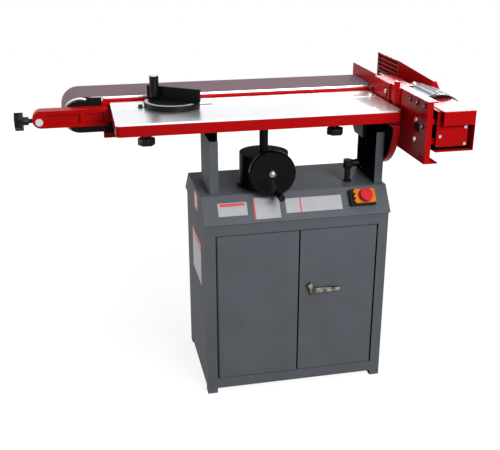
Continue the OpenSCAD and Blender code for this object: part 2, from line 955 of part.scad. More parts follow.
module table_saddle() {
    color(grey) {
        block([post_left_x - saddle_margin, post_mid_y - saddle_front / 2, saddle_z0],
            [post_right_x + post_w + saddle_margin, post_mid_y + saddle_front / 2, plate_z0]);
        for (x = [post_left_x, post_right_x])
            block([x + post_wall + bar_play, post_y0 + bar_inset, saddle_z0 - bar_l],
            [x + post_w - post_wall - bar_play, post_y0 + bar_inset + bar_d, saddle_z0]);
        block([post_right_x - lug_gap - lug_w, post_mid_y - saddle_front / 2, saddle_z0 - lug_drop],
            [post_right_x - lug_gap, post_mid_y, saddle_z0]);
    }
}

// Lobed knob under the table with its threaded stem
module table_knob(x) {
    z1 = apron_z0 - knob_drop;
    color(black) {
        translate([x, knob_y, z1 - knob_h]) linear_extrude(knob_h) lobed(knob_r, knob_lobes, knob_lobe_r);
        bar_z(knob_stem_r, x, knob_y, z1 - knob_h, plate_z0 - air);
    }
}

module table_knob_left() {
    table_knob(knob_left_x);
}

module table_knob_right() {
    table_knob(knob_right_x);
}

module mitre_bar() {
    x0 = mitre_x - mitre_bar_back;
    color(black) {
        block([x0, slot_y - slot_w / 2 + mitre_bar_play, slot_z + mitre_bar_play],
            [x0 + mitre_bar_l, slot_y + slot_w / 2 - mitre_bar_play,
                slot_z + mitre_bar_play + mitre_bar_t]);
        block([x0, slot_y - slot_w / 2 + mitre_bar_play, slot_z + mitre_bar_play],
            [x0 + mitre_block_l, slot_y + slot_w / 2 - mitre_bar_play, table_z + mitre_block_h]);
        bar_z(mitre_pin_r, mitre_x, slot_y, slot_z + mitre_bar_play, mitre_z1);
    }
}

module mitre_head() {
    color(black) difference() {
        translate([mitre_x, slot_y, mitre_z0]) rotate(-fence_turn) linear_extrude(mitre_t) difference() {
            circle(r = mitre_r);
            translate([-mitre_r, fence_t]) square([2 * mitre_r, mitre_r]);
        }
        bar_z(mitre_pin_r + run, mitre_x, slot_y, mitre_z0 - over, mitre_z1 + over);
        bar_z(mitre_knob_neck_r + run, mitre_knob_x, mitre_knob_y, mitre_z0 + mitre_lift,
            mitre_z1 + over);
    }
}

module mitre_fence() {
    color(black) translate([mitre_x, slot_y, 0]) rotate(-fence_turn)
        block([-mitre_r - fence_overhang, 0, mitre_z1],
            [mitre_r + fence_overhang, fence_t, table_z + fence_h]);
}

module mitre_knob() {
    color(black) {
        bar_z(mitre_knob_neck_r, mitre_knob_x, mitre_knob_y, mitre_z0 + mitre_lift + air,
            mitre_z1 + mitre_knob_neck_h);
        translate([mitre_knob_x, mitre_knob_y, mitre_z1 + mitre_knob_neck_h])
            cylinder(r1 = mitre_knob_r - mitre_knob_taper, r2 = mitre_knob_r, h = mitre_knob_h);
    }
}

// Fixed arm from a post's inner face to the eye of the tilt pivot
module trunnion_outline() {
    polygon([[post_y1 - trunnion_pad_d, trunnion_z0 - trunnion_pad_h / 2],
        [post_y1, trunnion_z0 - trunnion_pad_h / 2],
        [post_y1 + trunnion_pad_h / 2, trunnion_z0], [pivot_y + eye_r, trunnion_z0],
            [pivot_y + eye_r, pivot_z],
        [pivot_y - eye_r, pivot_z], [pivot_y - eye_r, trunnion_z0 + trunnion_arm_h],
        [post_y1 - trunnion_pad_d, trunnion_z0 + trunnion_arm_h]]);
    translate([pivot_y, pivot_z]) circle(r = eye_r);
}

module trunnion(x0) {
    color(black) difference() {
        along_x(x0, x0 + trunnion_t) trunnion_outline();
        bar_x(pivot_r + seat, x0 - over, x0 + trunnion_t + over, pivot_y, pivot_z);
    }
}

module trunnions() {
    for (x = [trunnion_left_x, trunnion_right_x]) trunnion(x);
}

module pivot_pins() {
    color(steel) {
        bar_x(pivot_r, trunnion_left_x, ear_left_x + ear_t + pivot_proud, pivot_y, pivot_z);
        bar_x(pivot_r, ear_right_x - pivot_proud, trunnion_right_x + trunnion_t, pivot_y, pivot_z);
    }
}

// Half-round outline of the quadrant, drawn in and cut off below its centre
module half_round(r, drop) {
    translate([quadrant_y, quadrant_z]) difference() {
        circle(r = r);
        translate([-r - over, -drop]) square([2 * r + 2 * over, r + drop + over]);
    }
}

// Half-round dish on the right post's outer face, open towards the post
module quadrant() {
    x0 = post_right_x + post_w;
    color(red) difference() {
        along_x(x0, x0 + quadrant_t) half_round(quadrant_r, 0);
        along_x(x0 - over, x0 + quadrant_t - quadrant_web)
            half_round(quadrant_r - quadrant_wall, quadrant_wall);
    }
}

module head_beam() {
    color(red) difference() {
        union() {
            block([beam_x0, beam_y0, beam_z0], [beam_x1, beam_y1, flange_z0]);
            block([platen_x0, beam_y0, flange_z0], [platen_x1, belt_y1 - flange_back, platen_z0]);
            block([platen_x1, beam_y0, flange_z0], [housing_x0 - clear, beam_y1, platen_z0]);
            for (x = [ear_left_x, ear_right_x]) {
                block([x, pivot_y - eye_r, pivot_z], [x + ear_t, pivot_y + eye_r, flange_z0]);
                bar_x(eye_r, x, x + ear_t, pivot_y, pivot_z);
            }
        }
        for (x = [trunnion_left_x, trunnion_right_x])
            block([x - notch_side, beam_y0 - over, beam_z0 - over],
                [x + trunnion_t + notch_side, beam_y1 + over, notch_z1]);
        for (x = [ear_left_x, ear_right_x])
            bar_x(pivot_r + run, x - over, x + ear_t + over, pivot_y, pivot_z);
        bar_y(drive_shaft_r + clear, drive_x, beam_y0 - over, beam_y1 + over, axis_z);
    }
}

// Platen with a front lip that runs on beside the drive drum
module platen() {
    color(steel) {
        block([platen_x0, belt_y0 - platen_front, platen_z0],
            [platen_x1, belt_y1 - flange_back, platen_z1]);
        block([platen_x1, belt_y0 - platen_front, platen_z0],
            [housing_x0 - clear, belt_y0 - clear, platen_z1]);
    }
}

module sanding_belt() {
    color(abrasive) along_y(belt_y0, belt_y1) translate([0, axis_z]) difference() {
        loop_outline(idler_x, drive_x, belt_out_r);
        loop_outline(idler_x, drive_x, belt_in_r);
    }
}

// Hollow drum with a recessed web at each end
module drum(x, bore_r) {
    difference() {
        bar_y(drum_r, x, drum_y0, drum_y1, axis_z);
        for (y = [drum_y0 - over, drum_y1 - drum_recess]) difference() {
            bar_y(drum_r - drum_wall, x, y, y + drum_recess + over, axis_z);
            bar_y(drum_hub_r, x, y - over, y + drum_recess + 2 * over, axis_z);
        }
        bar_y(bore_r, x, drum_y0 - over, drum_y1 + over, axis_z);
    }
}

module idler_drum() {
    color(steel) drum(idler_x, idler_shaft_r + run);
}

module idler_shaft() {
    color(steel) bar_y(idler_shaft_r, idler_x, arm_y0 + block_wall + air, drum_y1 - drum_in, axis_z);
}

module idler_block() {
    color(black) difference() {
        block([idler_x - block_x0_back, arm_y0 + block_wall + air, axis_z - block_h],
            [idler_x + block_x1_front, arm_y1, axis_z + block_h]);
        bar_y(idler_shaft_r + seat, idler_x, arm_y0, arm_y1 + over, axis_z);
        bar_x(rod_r + run, idler_x - block_x0_back - over, idler_x, rod_y, rod_z);
    }
}

module idler_arm() {
    slide_x0 = idler_x - block_x0_back - air;
    slide_x1 = idler_x + block_x1_front + tension_travel + air;
    color(red) difference() {
        union() {
            block([arm_x0 + arm_end_r, arm_y0, arm_z0], [arm_x1, arm_y1, arm_z1]);
            bar_y(arm_end_r, arm_x0 + arm_end_r, arm_y0, arm_y1, arm_z0 + arm_end_r);
            block([beam_x0, arm_y1, arm_z0], [arm_x1, beam_y0, arm_z1]);
        }
        block([slide_x0, arm_y0 + block_wall, axis_z - block_h - air],
            [slide_x1, arm_y1 + over, axis_z + block_h + air]);
        block([arm_x0 + arm_recess_from_end, arm_y0 - over, arm_z0 + arm_recess_rim],
            [idler_x, arm_y0 + arm_recess, arm_z1 - arm_recess_rim]);
        block([idler_x + arm_recess_rim, arm_y0 - over, arm_z0 + arm_recess_rim],
            [arm_x1 - arm_recess_rim, arm_y0 + arm_recess, arm_z1 - arm_recess_rim]);
        bar_x(rod_r + run, arm_x0 - over, slide_x0 + over, rod_y, rod_z);
    }
}

// Black round-ended plate that closes the end of the loop, slotted for the idler shaft's travel
module loop_cover() {
    y1 = beam_y0 + loop_cover_t;
    color(black) difference() {
        union() {
            bar_y(loop_cover_r, loop_cover_x, beam_y0, y1, loop_cover_z);
            block([loop_cover_x, beam_y0, loop_cover_z - loop_cover_r],
                [beam_x0, y1, loop_cover_z + loop_cover_r]);
            block([idler_x + drum_hub_r, beam_y0, axis_z], [beam_x0, y1, platen_z1]);
        }
        along_y(beam_y0 - over, y1 + over) translate([0, axis_z])
            loop_outline(idler_x, idler_x + tension_travel, idler_shaft_r + clear);
    }
}

module tension_knob() {
    x1 = arm_x0 - rod_stand + star_hub_l;
    color(black) {
        bar_x(rod_r, arm_x0 - rod_stand, idler_x - idler_shaft_r - rod_end_gap, rod_y, rod_z);
        bar_x(star_hub_r, x1 - star_hub_l, x1, rod_y, rod_z);
        translate([arm_x0 - rod_stand - star_t, rod_y, rod_z]) rotate([90, 0, 90]) linear_extrude(star_t)
            lobed(star_r, star_lobes, star_lobe_r);
    }
}

module drive_housing() {
    color(red) difference() {
        union() {
            block([housing_x0, housing_y0, axis_z - housing_down],
                [housing_x1, housing_y1, axis_z + housing_up]);
            block([pan_x, housing_y0, axis_z + housing_up],
                [pan_x + bracket_w, housing_y1, axis_z + housing_up + housing_crest]);
        }
        for (y = [housing_y0, housing_y1 - bearing_w])
            bar_y(bearing_r + seat, drive_x, y - over, y + bearing_w + over, axis_z);
        bar_y(drive_shaft_r + clear, drive_x, housing_y0 - over, housing_y1 + over, axis_z);
    }
}

module drive_bearings() {
    color(steel) for (y = [housing_y0, housing_y1 - bearing_w]) difference() {
        bar_y(bearing_r, drive_x, y, y + bearing_w, axis_z);
        bar_y(drive_shaft_r + run, drive_x, y - over, y + bearing_w + over, axis_z);
    }
}

module drive_shaft() {
    color(steel) bar_y(drive_shaft_r, drive_x, pulley_y0, drum_y1 - drum_in, axis_z);
}

module drive_drum() {
    color(steel) drum(drive_x, drive_shaft_r + seat);
}

// Plain pulley with a shallow belt track between two rims
module pulley(x) {
    rim = (pulley_w - vee_w) / 2 - air;
    difference() {
        union() {
            bar_y(pulley_r, x, pulley_y0, pulley_y1, axis_z);
            for (y = [pulley_y0, pulley_y1 - rim]) bar_y(pulley_r + pulley_rim, x, y, y + rim, axis_z);
        }
        bar_y(drive_shaft_r + seat, x, pulley_y0 - over, pulley_y1 + over, axis_z);
    }
}

module drum_pulley() {
    color(steel) pulley(drive_x);
}

module motor_pulley() {
    color(steel) pulley(motor_x);
}

module drive_belt() {
    y0 = (pulley_y0 + pulley_y1 - vee_w) / 2;
    color(black) along_y(y0, y0 + vee_w) translate([0, axis_z]) difference() {
        loop_outline(drive_x, motor_x, pulley_r + air + vee_t);
        loop_outline(drive_x, motor_x, pulley_r + air);
    }
}

module rotor() {
    color(steel) {
        bar_y(drive_shaft_r, motor_x, motor_y0 - ring_l / 2, pulley_y1, axis_z);
        bar_y(rotor_r, motor_x, motor_y0 + motor_end + clear, motor_y1 - motor_end - clear, axis_z);
    }
}

module motor_body() {
    color("#b9bec2") difference() {
        union() {
            bar_y(motor_r - fin_h, motor_x, motor_y0, motor_y1, axis_z);
            for (i = [0 : fin_count - 1]) translate([motor_x, motor_y1 - motor_end / 2, axis_z])
                rotate([90, i * 360 / fin_count, 0])
                translate([0, -fin_w / 2, 0]) cube([motor_r, fin_w, motor_l - motor_end]);
        }
        bar_y(motor_cavity_r, motor_x, motor_y0 + motor_end, motor_y1 - motor_end, axis_z);
        bar_y(drive_shaft_r + run, motor_x, motor_y0 - over, motor_y1 + over, axis_z);
    }
}

module motor_ring() {
    color(black) difference() {
        bar_y(motor_r - ring_in, motor_x, front_y1, motor_y0, axis_z);
        bar_y(motor_cavity_r, motor_x, front_y1 - over, motor_y0 + over, axis_z);
    }
}

// Square front end of the motor, open to the rear, with the two feet that are bolted to the pan
module motor_front() {
    color(red) {
        difference() {
            block([front_x0, front_y0, front_z0], [front_x1, front_y1, front_z1]);
            block([front_x0 + front_wall, front_y0 + front_wall, front_z0 + front_wall],
                [front_x1 - front_wall, front_y1 + over, front_z1 - front_wall]);
        }
        for (z = [-pan_bolt_up, pan_bolt_up])
            block([pan_x + pan_t, front_y0 + foot_block_in, axis_z + z - foot_block_h / 2],
                [front_x0, front_y1 - foot_block_in, axis_z + z + foot_block_h / 2]);
    }
}

// Folded cover over the motor's front end, open to the left and below its front lip
module motor_cover() {
    x0 = front_x0 + cover_left_in;
    x1 = front_x1 + cover_side;
    y0 = front_y0 - cover_reach;
    z0 = front_z0 - cover_under - cover_sheet;
    color(red) {
        block([x0, y0, front_z1], [x1 + cover_sheet, front_y1, front_z1 + cover_sheet]);
        block([x1, y0, z0], [x1 + cover_sheet, front_y1, front_z1]);
        block([front_x0 - cover_left_out, y0, z0], [x1, front_y1, z0 + cover_sheet]);
        block([x0, y0, front_z1 - cover_lip], [x1, y0 + cover_sheet, front_z1]);
    }
}

module motor_pan() {
    x1 = pan_x + pan_t;
    color(red) difference() {
        union() {
            block([pan_x, pan_y0, pan_z0], [x1, pan_y1, pan_z1]);
            block([pan_x, pan_y0, pan_z1 - pan_t], [pan_x + pan_top_flange, pan_y1, pan_z1]);
            block([pan_x, pan_y0, pan_z0], [pan_x + pan_front_flange, pan_y0 + pan_t, pan_z1]);
            block([pan_x, pan_y0, pan_z0], [pan_x + pan_bottom_flange, pan_y1, pan_z0 + pan_t]);
        }
        along_x(pan_x - over, x1 + over)
            translate([pan_slot_y - pan_slot_w / 2, axis_z + pan_slot_up - pan_slot_h / 2])
                round_rectangle(pan_slot_w, pan_slot_h, pan_slot_r);
        bar_x(pan_hole_r, pan_x - over, x1 + over, pan_y0 + pan_hole_in, pan_z0 + pan_hole_up);
    }
}

// Folded bracket from the housing to the pan, with a half-round bead where they meet
module stop_bracket() {
    color(red) {
        block([bracket_x, pan_y1 - bracket_overlap, bracket_z0], [pan_x, housing_y0, bracket_z1]);
        block([pan_x, pan_y1, bracket_z1 - bracket_t], [pan_x + bracket_w, housing_y0, bracket_z1]);
        block([pan_x, housing_y0 - bracket_t, bracket_z0],
            [pan_x + bracket_w, housing_y0, bracket_z1 - bracket_t]);
        difference() {
            bar_z(bead_r, pan_x, pan_y1, bracket_z0, bracket_z1 + bead_proud);
            block([pan_x, pan_y1 - 2 * bead_r, bracket_z0 - over],
                [pan_x + 2 * bead_r, pan_y1 + 2 * bead_r, bracket_z1 + bead_proud + over]);
        }
    }
}

// Work stop across the belt on a slotted leg, so that it can be raised
module stop_plate() {
    color(red) difference() {
        union() {
            block([housing_x0, housing_y0 - stop_gap, stop_z0],
                [bracket_x, belt_y1 - flange_back, stop_z1]);
            block([housing_x0, stop_y0, stop_z0 - stop_leg_drop],
                [bracket_x, housing_y0 - stop_gap, stop_z1 - stop_leg_top]);
        }
        along_x(housing_x0 - over, bracket_x + over) translate([stop_bolt_y, stop_bolt_z - stop_lift / 2])
            long_hole(2 * (stop_bolt_r + air), stop_lift + 2 * (stop_bolt_r + air));
    }
}

// Front strip of the guard, turned outwards over the motor and falling to its end flange
module guard_strip() {
    tip_z = guard_z1 - guard_drop;
    intersection() {
        translate([0, 0, guard_drive_z]) linear_extrude(guard_z1 - guard_drive_z)
            polygon([[guard_x, guard_bend_y], [guard_x + guard_t, guard_bend_y],
                [guard_tip_x + guard_t, guard_front_y], [guard_tip_x, guard_front_y]]);
        along_x(guard_x, guard_tip_x + guard_t)
            polygon([[guard_bend_y, guard_drive_z], [guard_bend_y, guard_z1],
                [guard_front_y, tip_z], [guard_front_y, guard_low_z],
                [motor_y1 + guard_gap, guard_low_z], [motor_y1 + guard_gap, guard_drive_z]]);
    }
    along_y(guard_front_y, guard_front_y + guard_t)
        polygon([[guard_tip_x, guard_low_z], [guard_tip_x, tip_z],
            [guard_tip_x + guard_flange, tip_z],
            [guard_tip_x + guard_flange_low, guard_low_z - guard_flange_dip]]);
}

module guard_wall() {
    x1 = guard_x + guard_t;
    y0 = guard_bend_y + louvre_margin;
    y1 = guard_y1 - louvre_margin;
    z0 = guard_z1 - louvre_top - louvre_h;
    color(red) {
        guard_strip();
        difference() {
            along_x(guard_x, x1) polygon([[guard_y1, guard_z0], [guard_y1, guard_z1],
                [guard_bend_y, guard_z1],
                [guard_bend_y, guard_low_z], [housing_y0, guard_low_z], [housing_y0, guard_z0]]);
            for (i = [0 : louvre_count - 1])
                block([guard_x - over, y0, z0 - i * louvre_pitch],
                    [x1 + over, y1, z0 - i * louvre_pitch + louvre_h]);
            bar_x(spigot_r - spigot_wall, guard_x - over, x1 + over, (belt_y0 + belt_y1) / 2, axis_z);
        }
        block([drive_x, guard_y1 - guard_t, guard_z0], [guard_x, guard_y1, axis_z + drum_r - guard_t]);
        block([drive_x, belt_y0, guard_z0], [guard_x, guard_y1 - guard_t, guard_z0 + guard_t]);
        difference() {
            bar_x(spigot_r, x1, x1 + spigot_l, (belt_y0 + belt_y1) / 2, axis_z);
            bar_x(spigot_r - spigot_wall, x1 - over, x1 + spigot_l + over, (belt_y0 + belt_y1) / 2,
                axis_z);
        }
    }
}

module head_bolts() {
    color(steel) {
        for (i = [0 : 2]) bar_x(bolt_r, pan_x - bolt_h, pan_x, pan_y0 + pan_row_in + i * pan_row_pitch,
            pan_z1 - pan_row_drop);
        for (z = [-pan_bolt_up, pan_bolt_up])
            bar_x(bolt_r, pan_x - bolt_h, pan_x, pan_slot_y, axis_z + z);
        bar_x(bolt_r, pan_x - bolt_h, pan_x, pan_y0 + pan_side_in, axis_z + pan_side_up);
        bar_y(arm_bolt_r, arm_x0 + arm_bolt_from_end, arm_y0 - bolt_h, arm_y0, arm_z0 + arm_bolt_up);
        bar_y(small_bolt_r, front_x0 + front_bolt_in, front_y0 - small_bolt_h, front_y0,
            axis_z - front_bolt_drop);
        for (z = [-front_bolt_up, front_bolt_up]) bar_y(small_bolt_r, front_x1 - front_bolt_in,
            front_y0 - small_bolt_h, front_y0, axis_z - front_bolt_drop + z);
        bar_x(stop_bolt_r, housing_x0 - air, bracket_x, stop_bolt_y, stop_bolt_z);
        bar_x(bolt_r, housing_x0 - air - bolt_h, housing_x0 - air, stop_bolt_y, stop_bolt_z);
    }
}

cabinet();
hood();
left_post();
right_post();
post_bolts();
column_housing();
hinge_pins();
switch_body();
trunnions();
quadrant();
pivot_pins();
lock_stud();
lock_lever();
left_door();
right_door();
door_handle();
latch_cam();
switch_flap();
stop_button();
start_button();
table_top();
table_apron();
table_saddle();
lift_screw();
lift_nut();
handwheel();
wheel_shaft();
crank_grip();
table_knob_left();
table_knob_right();
mitre_bar();
mitre_head();
mitre_fence();
mitre_knob();
head_beam();
platen();
sanding_belt();
loop_cover();
idler_arm();
idler_block();
idler_shaft();
idler_drum();
tension_knob();
drive_housing();
drive_bearings();
drive_shaft();
drive_drum();
drum_pulley();
drive_belt();
motor_pulley();
rotor();
motor_body();
motor_ring();
motor_front();
motor_cover();
motor_pan();
stop_bracket();
stop_plate();
guard_wall();
head_bolts();
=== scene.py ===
"""Looks of an edge sander: finishes for the solids of its frame, and the small trim that the solids leave out."""

import json
import math

import bmesh
import bpy
from bpy.props import FloatProperty, FloatVectorProperty, PointerProperty, StringProperty
from bpy.types import Operator, Panel, PropertyGroup
from mathutils import Euler, Matrix, Vector


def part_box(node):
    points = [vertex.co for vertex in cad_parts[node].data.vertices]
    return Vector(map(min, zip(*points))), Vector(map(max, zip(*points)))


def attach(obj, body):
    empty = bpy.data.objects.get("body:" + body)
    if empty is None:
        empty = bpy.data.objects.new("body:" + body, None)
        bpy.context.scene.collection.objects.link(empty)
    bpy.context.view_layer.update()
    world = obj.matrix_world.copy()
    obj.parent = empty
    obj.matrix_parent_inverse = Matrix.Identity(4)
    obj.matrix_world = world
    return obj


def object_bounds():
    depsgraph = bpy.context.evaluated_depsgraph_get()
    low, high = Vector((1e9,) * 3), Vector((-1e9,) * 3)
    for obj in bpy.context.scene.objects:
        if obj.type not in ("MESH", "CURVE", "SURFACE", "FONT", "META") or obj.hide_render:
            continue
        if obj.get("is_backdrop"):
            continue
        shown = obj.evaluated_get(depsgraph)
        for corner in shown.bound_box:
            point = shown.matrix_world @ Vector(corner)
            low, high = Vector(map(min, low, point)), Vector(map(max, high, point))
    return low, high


bl_info = {
    "name": "Edge Sander Looks",
    "version": (1, 0, 0),
    "blender": (4, 5, 0),
    "location": "View3D > Sidebar > Edge Sander",
    "description": "Paint, ground steel, abrasive belt and trim for an edge sander on a cabinet stand",
    "category": "Object",
}

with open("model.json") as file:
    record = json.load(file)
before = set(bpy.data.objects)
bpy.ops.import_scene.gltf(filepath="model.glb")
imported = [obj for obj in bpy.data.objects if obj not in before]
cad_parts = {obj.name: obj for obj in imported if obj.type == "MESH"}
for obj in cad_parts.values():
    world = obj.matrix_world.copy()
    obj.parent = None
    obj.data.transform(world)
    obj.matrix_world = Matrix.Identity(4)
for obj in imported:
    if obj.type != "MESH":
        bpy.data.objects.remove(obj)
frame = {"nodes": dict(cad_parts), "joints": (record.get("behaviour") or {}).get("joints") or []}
CAD_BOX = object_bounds()
MM = 0.001

HOOD_LOW, HOOD_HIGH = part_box("hood")
CABINET_LOW, CABINET_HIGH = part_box("cabinet")
HEAD_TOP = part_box("mitre_head")[1].z
PAN_LOW, PAN_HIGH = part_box("motor_pan")
KNOB_LOW, KNOB_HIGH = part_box("mitre_knob")
GUARD_LOW, GUARD_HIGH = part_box("guard_wall")
FRONT_LOW, FRONT_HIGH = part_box("motor_front")
COVER_LOW, COVER_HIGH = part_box("motor_cover")
DISH_LOW, DISH_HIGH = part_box("quadrant")
BEAM_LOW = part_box("head_beam")[0]
POST_LOW, POST_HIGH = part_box("left_post")[0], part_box("right_post")[1]

# The posts' sheet, a little less than its thickness; faces further in than this get the painted shade of the posts'
# insides
POST_SKIN = 2.5 * MM

# Bolts of the pan above this height or in front of this line are socket screws
ROW_Z = PAN_HIGH.z - 38 * MM
EDGE_Y = PAN_LOW.y + 35 * MM

# Bolt heads on the pan's outer side lie to the left of this
BOLT_X = PAN_LOW.x + 5 * MM

# The hood's front slopes back by this much over its height
HOOD_RUN = 50 * MM
HOOD_LEAN = math.atan(HOOD_RUN / (HOOD_HIGH.z - HOOD_LOW.z))


# Properties


class EdgeSanderColours(PropertyGroup):
    """Colours of the finishes, as sRGB hex values."""

    red: StringProperty(name="Red paint", description="Paint of the head and apron", default="#b30a0c")
    grey: StringProperty(name="Grey paint", description="Paint of the cabinet, hood and posts", default="#5e6268")
    black: StringProperty(name="Black enamel", description="Cast and moulded black pieces", default="#0b0b0c")
    wheel: StringProperty(name="Wheel enamel", description="Dish of the handwheel", default="#060607")
    steel: StringProperty(name="Ground steel", description="Table, platen and drums", default="#f0f2f5")
    dark_steel: StringProperty(name="Blackened steel", description="Bolts, pins and shafts", default="#3b3c3f")
    hub: StringProperty(name="Hub steel", description="Turned end of the handwheel's shaft", default="#8f8778")
    abrasive: StringProperty(name="Abrasive", description="Grain on the belt", default="#6e5660")
    motor: StringProperty(name="Motor paint", description="Finned motor body", default="#dde2e8")
    yellow: StringProperty(name="Switch flap", description="Moulded flap of the switch", default="#d8780f")
    button: StringProperty(name="Stop button", description="Moulded stop button", default="#cc2231")
    green: StringProperty(name="Start button", description="Moulded start button", default="#1f8a3d")
    plate: StringProperty(name="Plate", description="Bare printed plates", default="#a6a7ab")


class EdgeSanderSizes(PropertyGroup):
    """Sizes of the trim that this script models, and the camera."""

    edge: FloatProperty(
        name="Edge rounding",
        description="Width of the rounding on sheet and cast edges",
        default=0.9 * MM,
        min=0.1 * MM,
        max=3 * MM,
        unit="LENGTH",
    )
    plate_thickness: FloatProperty(
        name="Plate thickness",
        description="Thickness of the bare plates on the hood",
        default=0.6 * MM,
        min=0.2 * MM,
        max=2 * MM,
        unit="LENGTH",
    )
    scale_band: FloatProperty(
        name="Scale band",
        description="Width of the pale scale on the mitre gauge",
        default=9 * MM,
        min=4 * MM,
        max=15 * MM,
        unit="LENGTH",
    )
    camera_place: FloatVectorProperty(
        name="Camera place",
        description="Where the camera stands",
        default=(-0.554, -2.101, 1.276),
        subtype="TRANSLATION",
    )
    camera_turn: FloatVectorProperty(
        name="Camera turn",
        description="How the camera is turned",
        default=(math.radians(68.74), 0.0, math.radians(-12.24)),
        subtype="EULER",
    )
    lens: FloatProperty(name="Lens", description="Focal length on a 36 mm sensor", default=57.85, min=20, max=200)


# Nodes


def linear(hex_colour):
    """Turns an sRGB hex value into linear RGBA."""
    channels = [int(hex_colour[i : i + 2], 16) / 255 for i in (1, 3, 5)]
    return [c / 12.92 if c <= 0.04045 else ((c + 0.055) / 1.055) ** 2.4 for c in channels] + [1.0]


def shade(colour, factor):
    """A linear colour made lighter or darker."""
    return [min(1.0, c * factor) for c in colour[:3]] + [1.0]


def add(tree, kind, settings=None, inputs=None):
    """Adds a node, sets its properties, and sets or links its inputs."""
    node = tree.nodes.new(kind)
    for key, value in (settings or {}).items():
        setattr(node, key, value)
    for key, value in (inputs or {}).items():
        if isinstance(value, bpy.types.NodeSocket):
            tree.links.new(value, node.inputs[key])
        else:
            node.inputs[key].default_value = value
    return node


def new_surface(name, roughness, metallic=0.0, **inputs):
    """Starts a material: returns it with its tree, its shader and its Object coordinates."""
    material = bpy.data.materials.new(name)
    material.use_nodes = True
    tree = material.node_tree
    shader = tree.nodes["Principled BSDF"]
    shader.inputs["Roughness"].default_value = roughness
    shader.inputs["Metallic"].default_value = metallic
    for key, value in inputs.items():
        shader.inputs[key.replace("_", " ")].default_value = value
    coords = add(tree, "ShaderNodeTexCoord").outputs["Object"]
    return material, tree, shader, coords


def noise(tree, coords, grain, detail):
    """A noise pattern with marks about as large as the grain."""
    node = add(tree, "ShaderNodeTexNoise", inputs={"Vector": coords, "Scale": 1 / grain, "Detail": detail})
    return node.outputs["Fac"]


def ramp(tree, pattern, low, high, start=0.3, end=0.7):
    """Colours a pattern: a ramp from one linear colour to another."""
    node = add(tree, "ShaderNodeValToRGB", inputs={"Fac": pattern})
    for element, colour, position in zip(node.color_ramp.elements, (low, high), (start, end)):
        element.color = colour
        element.position = position
    return node.outputs["Color"]


def calc(tree, operation, *values):
    """The result of a math node."""
    return add(tree, "ShaderNodeMath", {"operation": operation}, dict(enumerate(values))).outputs[0]


def blend(tree, factor, first, second):
    """A mix of two colours."""
    node = add(tree, "ShaderNodeMix", {"data_type": "RGBA"}, {"Factor": factor, "A": first, "B": second})
    return node.outputs["Result"]


def colour_by(tree, shader, pattern, base, dark, light, *stops):
    """Paints the surface in one linear colour, made darker and lighter by a pattern."""
    tint = ramp(tree, pattern, shade(base, dark), shade(base, light), *stops)
    tree.links.new(tint, shader.inputs["Base Color"])


def roughen_by(tree, shader, pattern, smooth, rough, **limits):
    """Lets a pattern move the roughness between two values."""
    inputs = {"Value": pattern, "To Min": smooth, "To Max": rough}
    inputs |= {key.replace("_", " "): value for key, value in limits.items()}
    spread = add(tree, "ShaderNodeMapRange", inputs=inputs)
    tree.links.new(spread.outputs["Result"], shader.inputs["Roughness"])


def emboss(tree, shader, pattern, strength, depth):
    """Raises a pattern on top of the bumps that the surface already has."""
    bump = add(tree, "ShaderNodeBump", inputs={"Height": pattern, "Strength": strength, "Distance": depth})
    normal = shader.inputs["Normal"]
    if normal.is_linked:
        tree.links.new(normal.links[0].from_socket, bump.inputs["Normal"])
    tree.links.new(bump.outputs["Normal"], normal)


# Materials


def gloss_paint(name, hex_colour, roughness=0.3, orange_peel=0.04, gloss=0.06):
    """Sprayed stoving enamel: an even coat with a faint orange peel of about 4 mm, which breaks up its highlights."""
    material, tree, shader, coords = new_surface(name, roughness, IOR=1.5, Specular_IOR_Level=gloss)
    cloud = noise(tree, coords, 60 * MM, 3.0)
    colour_by(tree, shader, cloud, linear(hex_colour), 0.92, 1.06)
    peel = noise(tree, coords, 4 * MM, 2.0)
    emboss(tree, shader, peel, orange_peel, 0.3 * MM)
    return material


def sheet_paint(name, hex_colour):
    """Satin grey enamel on folded sheet: long soft waves of the sheet, with fine specks in the paint."""
    material, tree, shader, coords = new_surface(name, 0.6, IOR=1.5, Specular_IOR_Level=0.08)
    cloud = noise(tree, coords, 90 * MM, 4.0)
    colour_by(tree, shader, cloud, linear(hex_colour), 0.93, 1.07)
    specks = noise(tree, coords, 2.5 * MM, 2.0)
    emboss(tree, shader, specks, 0.06, 0.3 * MM)
    waves = noise(tree, coords, 140 * MM, 1.0)
    emboss(tree, shader, waves, 0.05, 2 * MM)
    return material


def shaded_post_paint(name, hex_colour, shade_hex):
    """The same enamel, with black painted on the faces inside the two posts: painted shade, where their insides lie in
    shadow under the table.
    """
    material = sheet_paint(name, hex_colour)
    tree = material.node_tree
    base = tree.nodes["Principled BSDF"].inputs["Base Color"]
    coords = add(tree, "ShaderNodeTexCoord").outputs["Object"]
    x, y, _ = add(tree, "ShaderNodeSeparateXYZ", inputs={"Vector": coords}).outputs
    middle = (POST_LOW + POST_HIGH) / 2
    reach = (POST_HIGH - POST_LOW) / 2
    # Mask of the painted shade: the faces inside the posts' sheet turn black
    across = calc(tree, "COMPARE", x, middle.x, reach.x - POST_SKIN)
    along = calc(tree, "COMPARE", y, middle.y, reach.y - POST_SKIN)
    inside = calc(tree, "MULTIPLY", across, along)
    enamel = base.links[0].from_socket
    tree.links.new(blend(tree, inside, enamel, linear(shade_hex)), base)
    return material


def cast_enamel(name, hex_colour, gloss=0.1):
    """Black enamel on a casting: the sand's grain of about 1.5 mm shows through as a rough, broken gloss."""
    material, tree, shader, coords = new_surface(name, 0.45, IOR=1.5, Specular_IOR_Level=gloss)
    grain = noise(tree, coords, 1.5 * MM, 3.0)
    colour_by(tree, shader, grain, linear(hex_colour), 0.7, 1.5, 0.3, 0.8)
    emboss(tree, shader, grain, 0.2, 0.4 * MM)
    return material


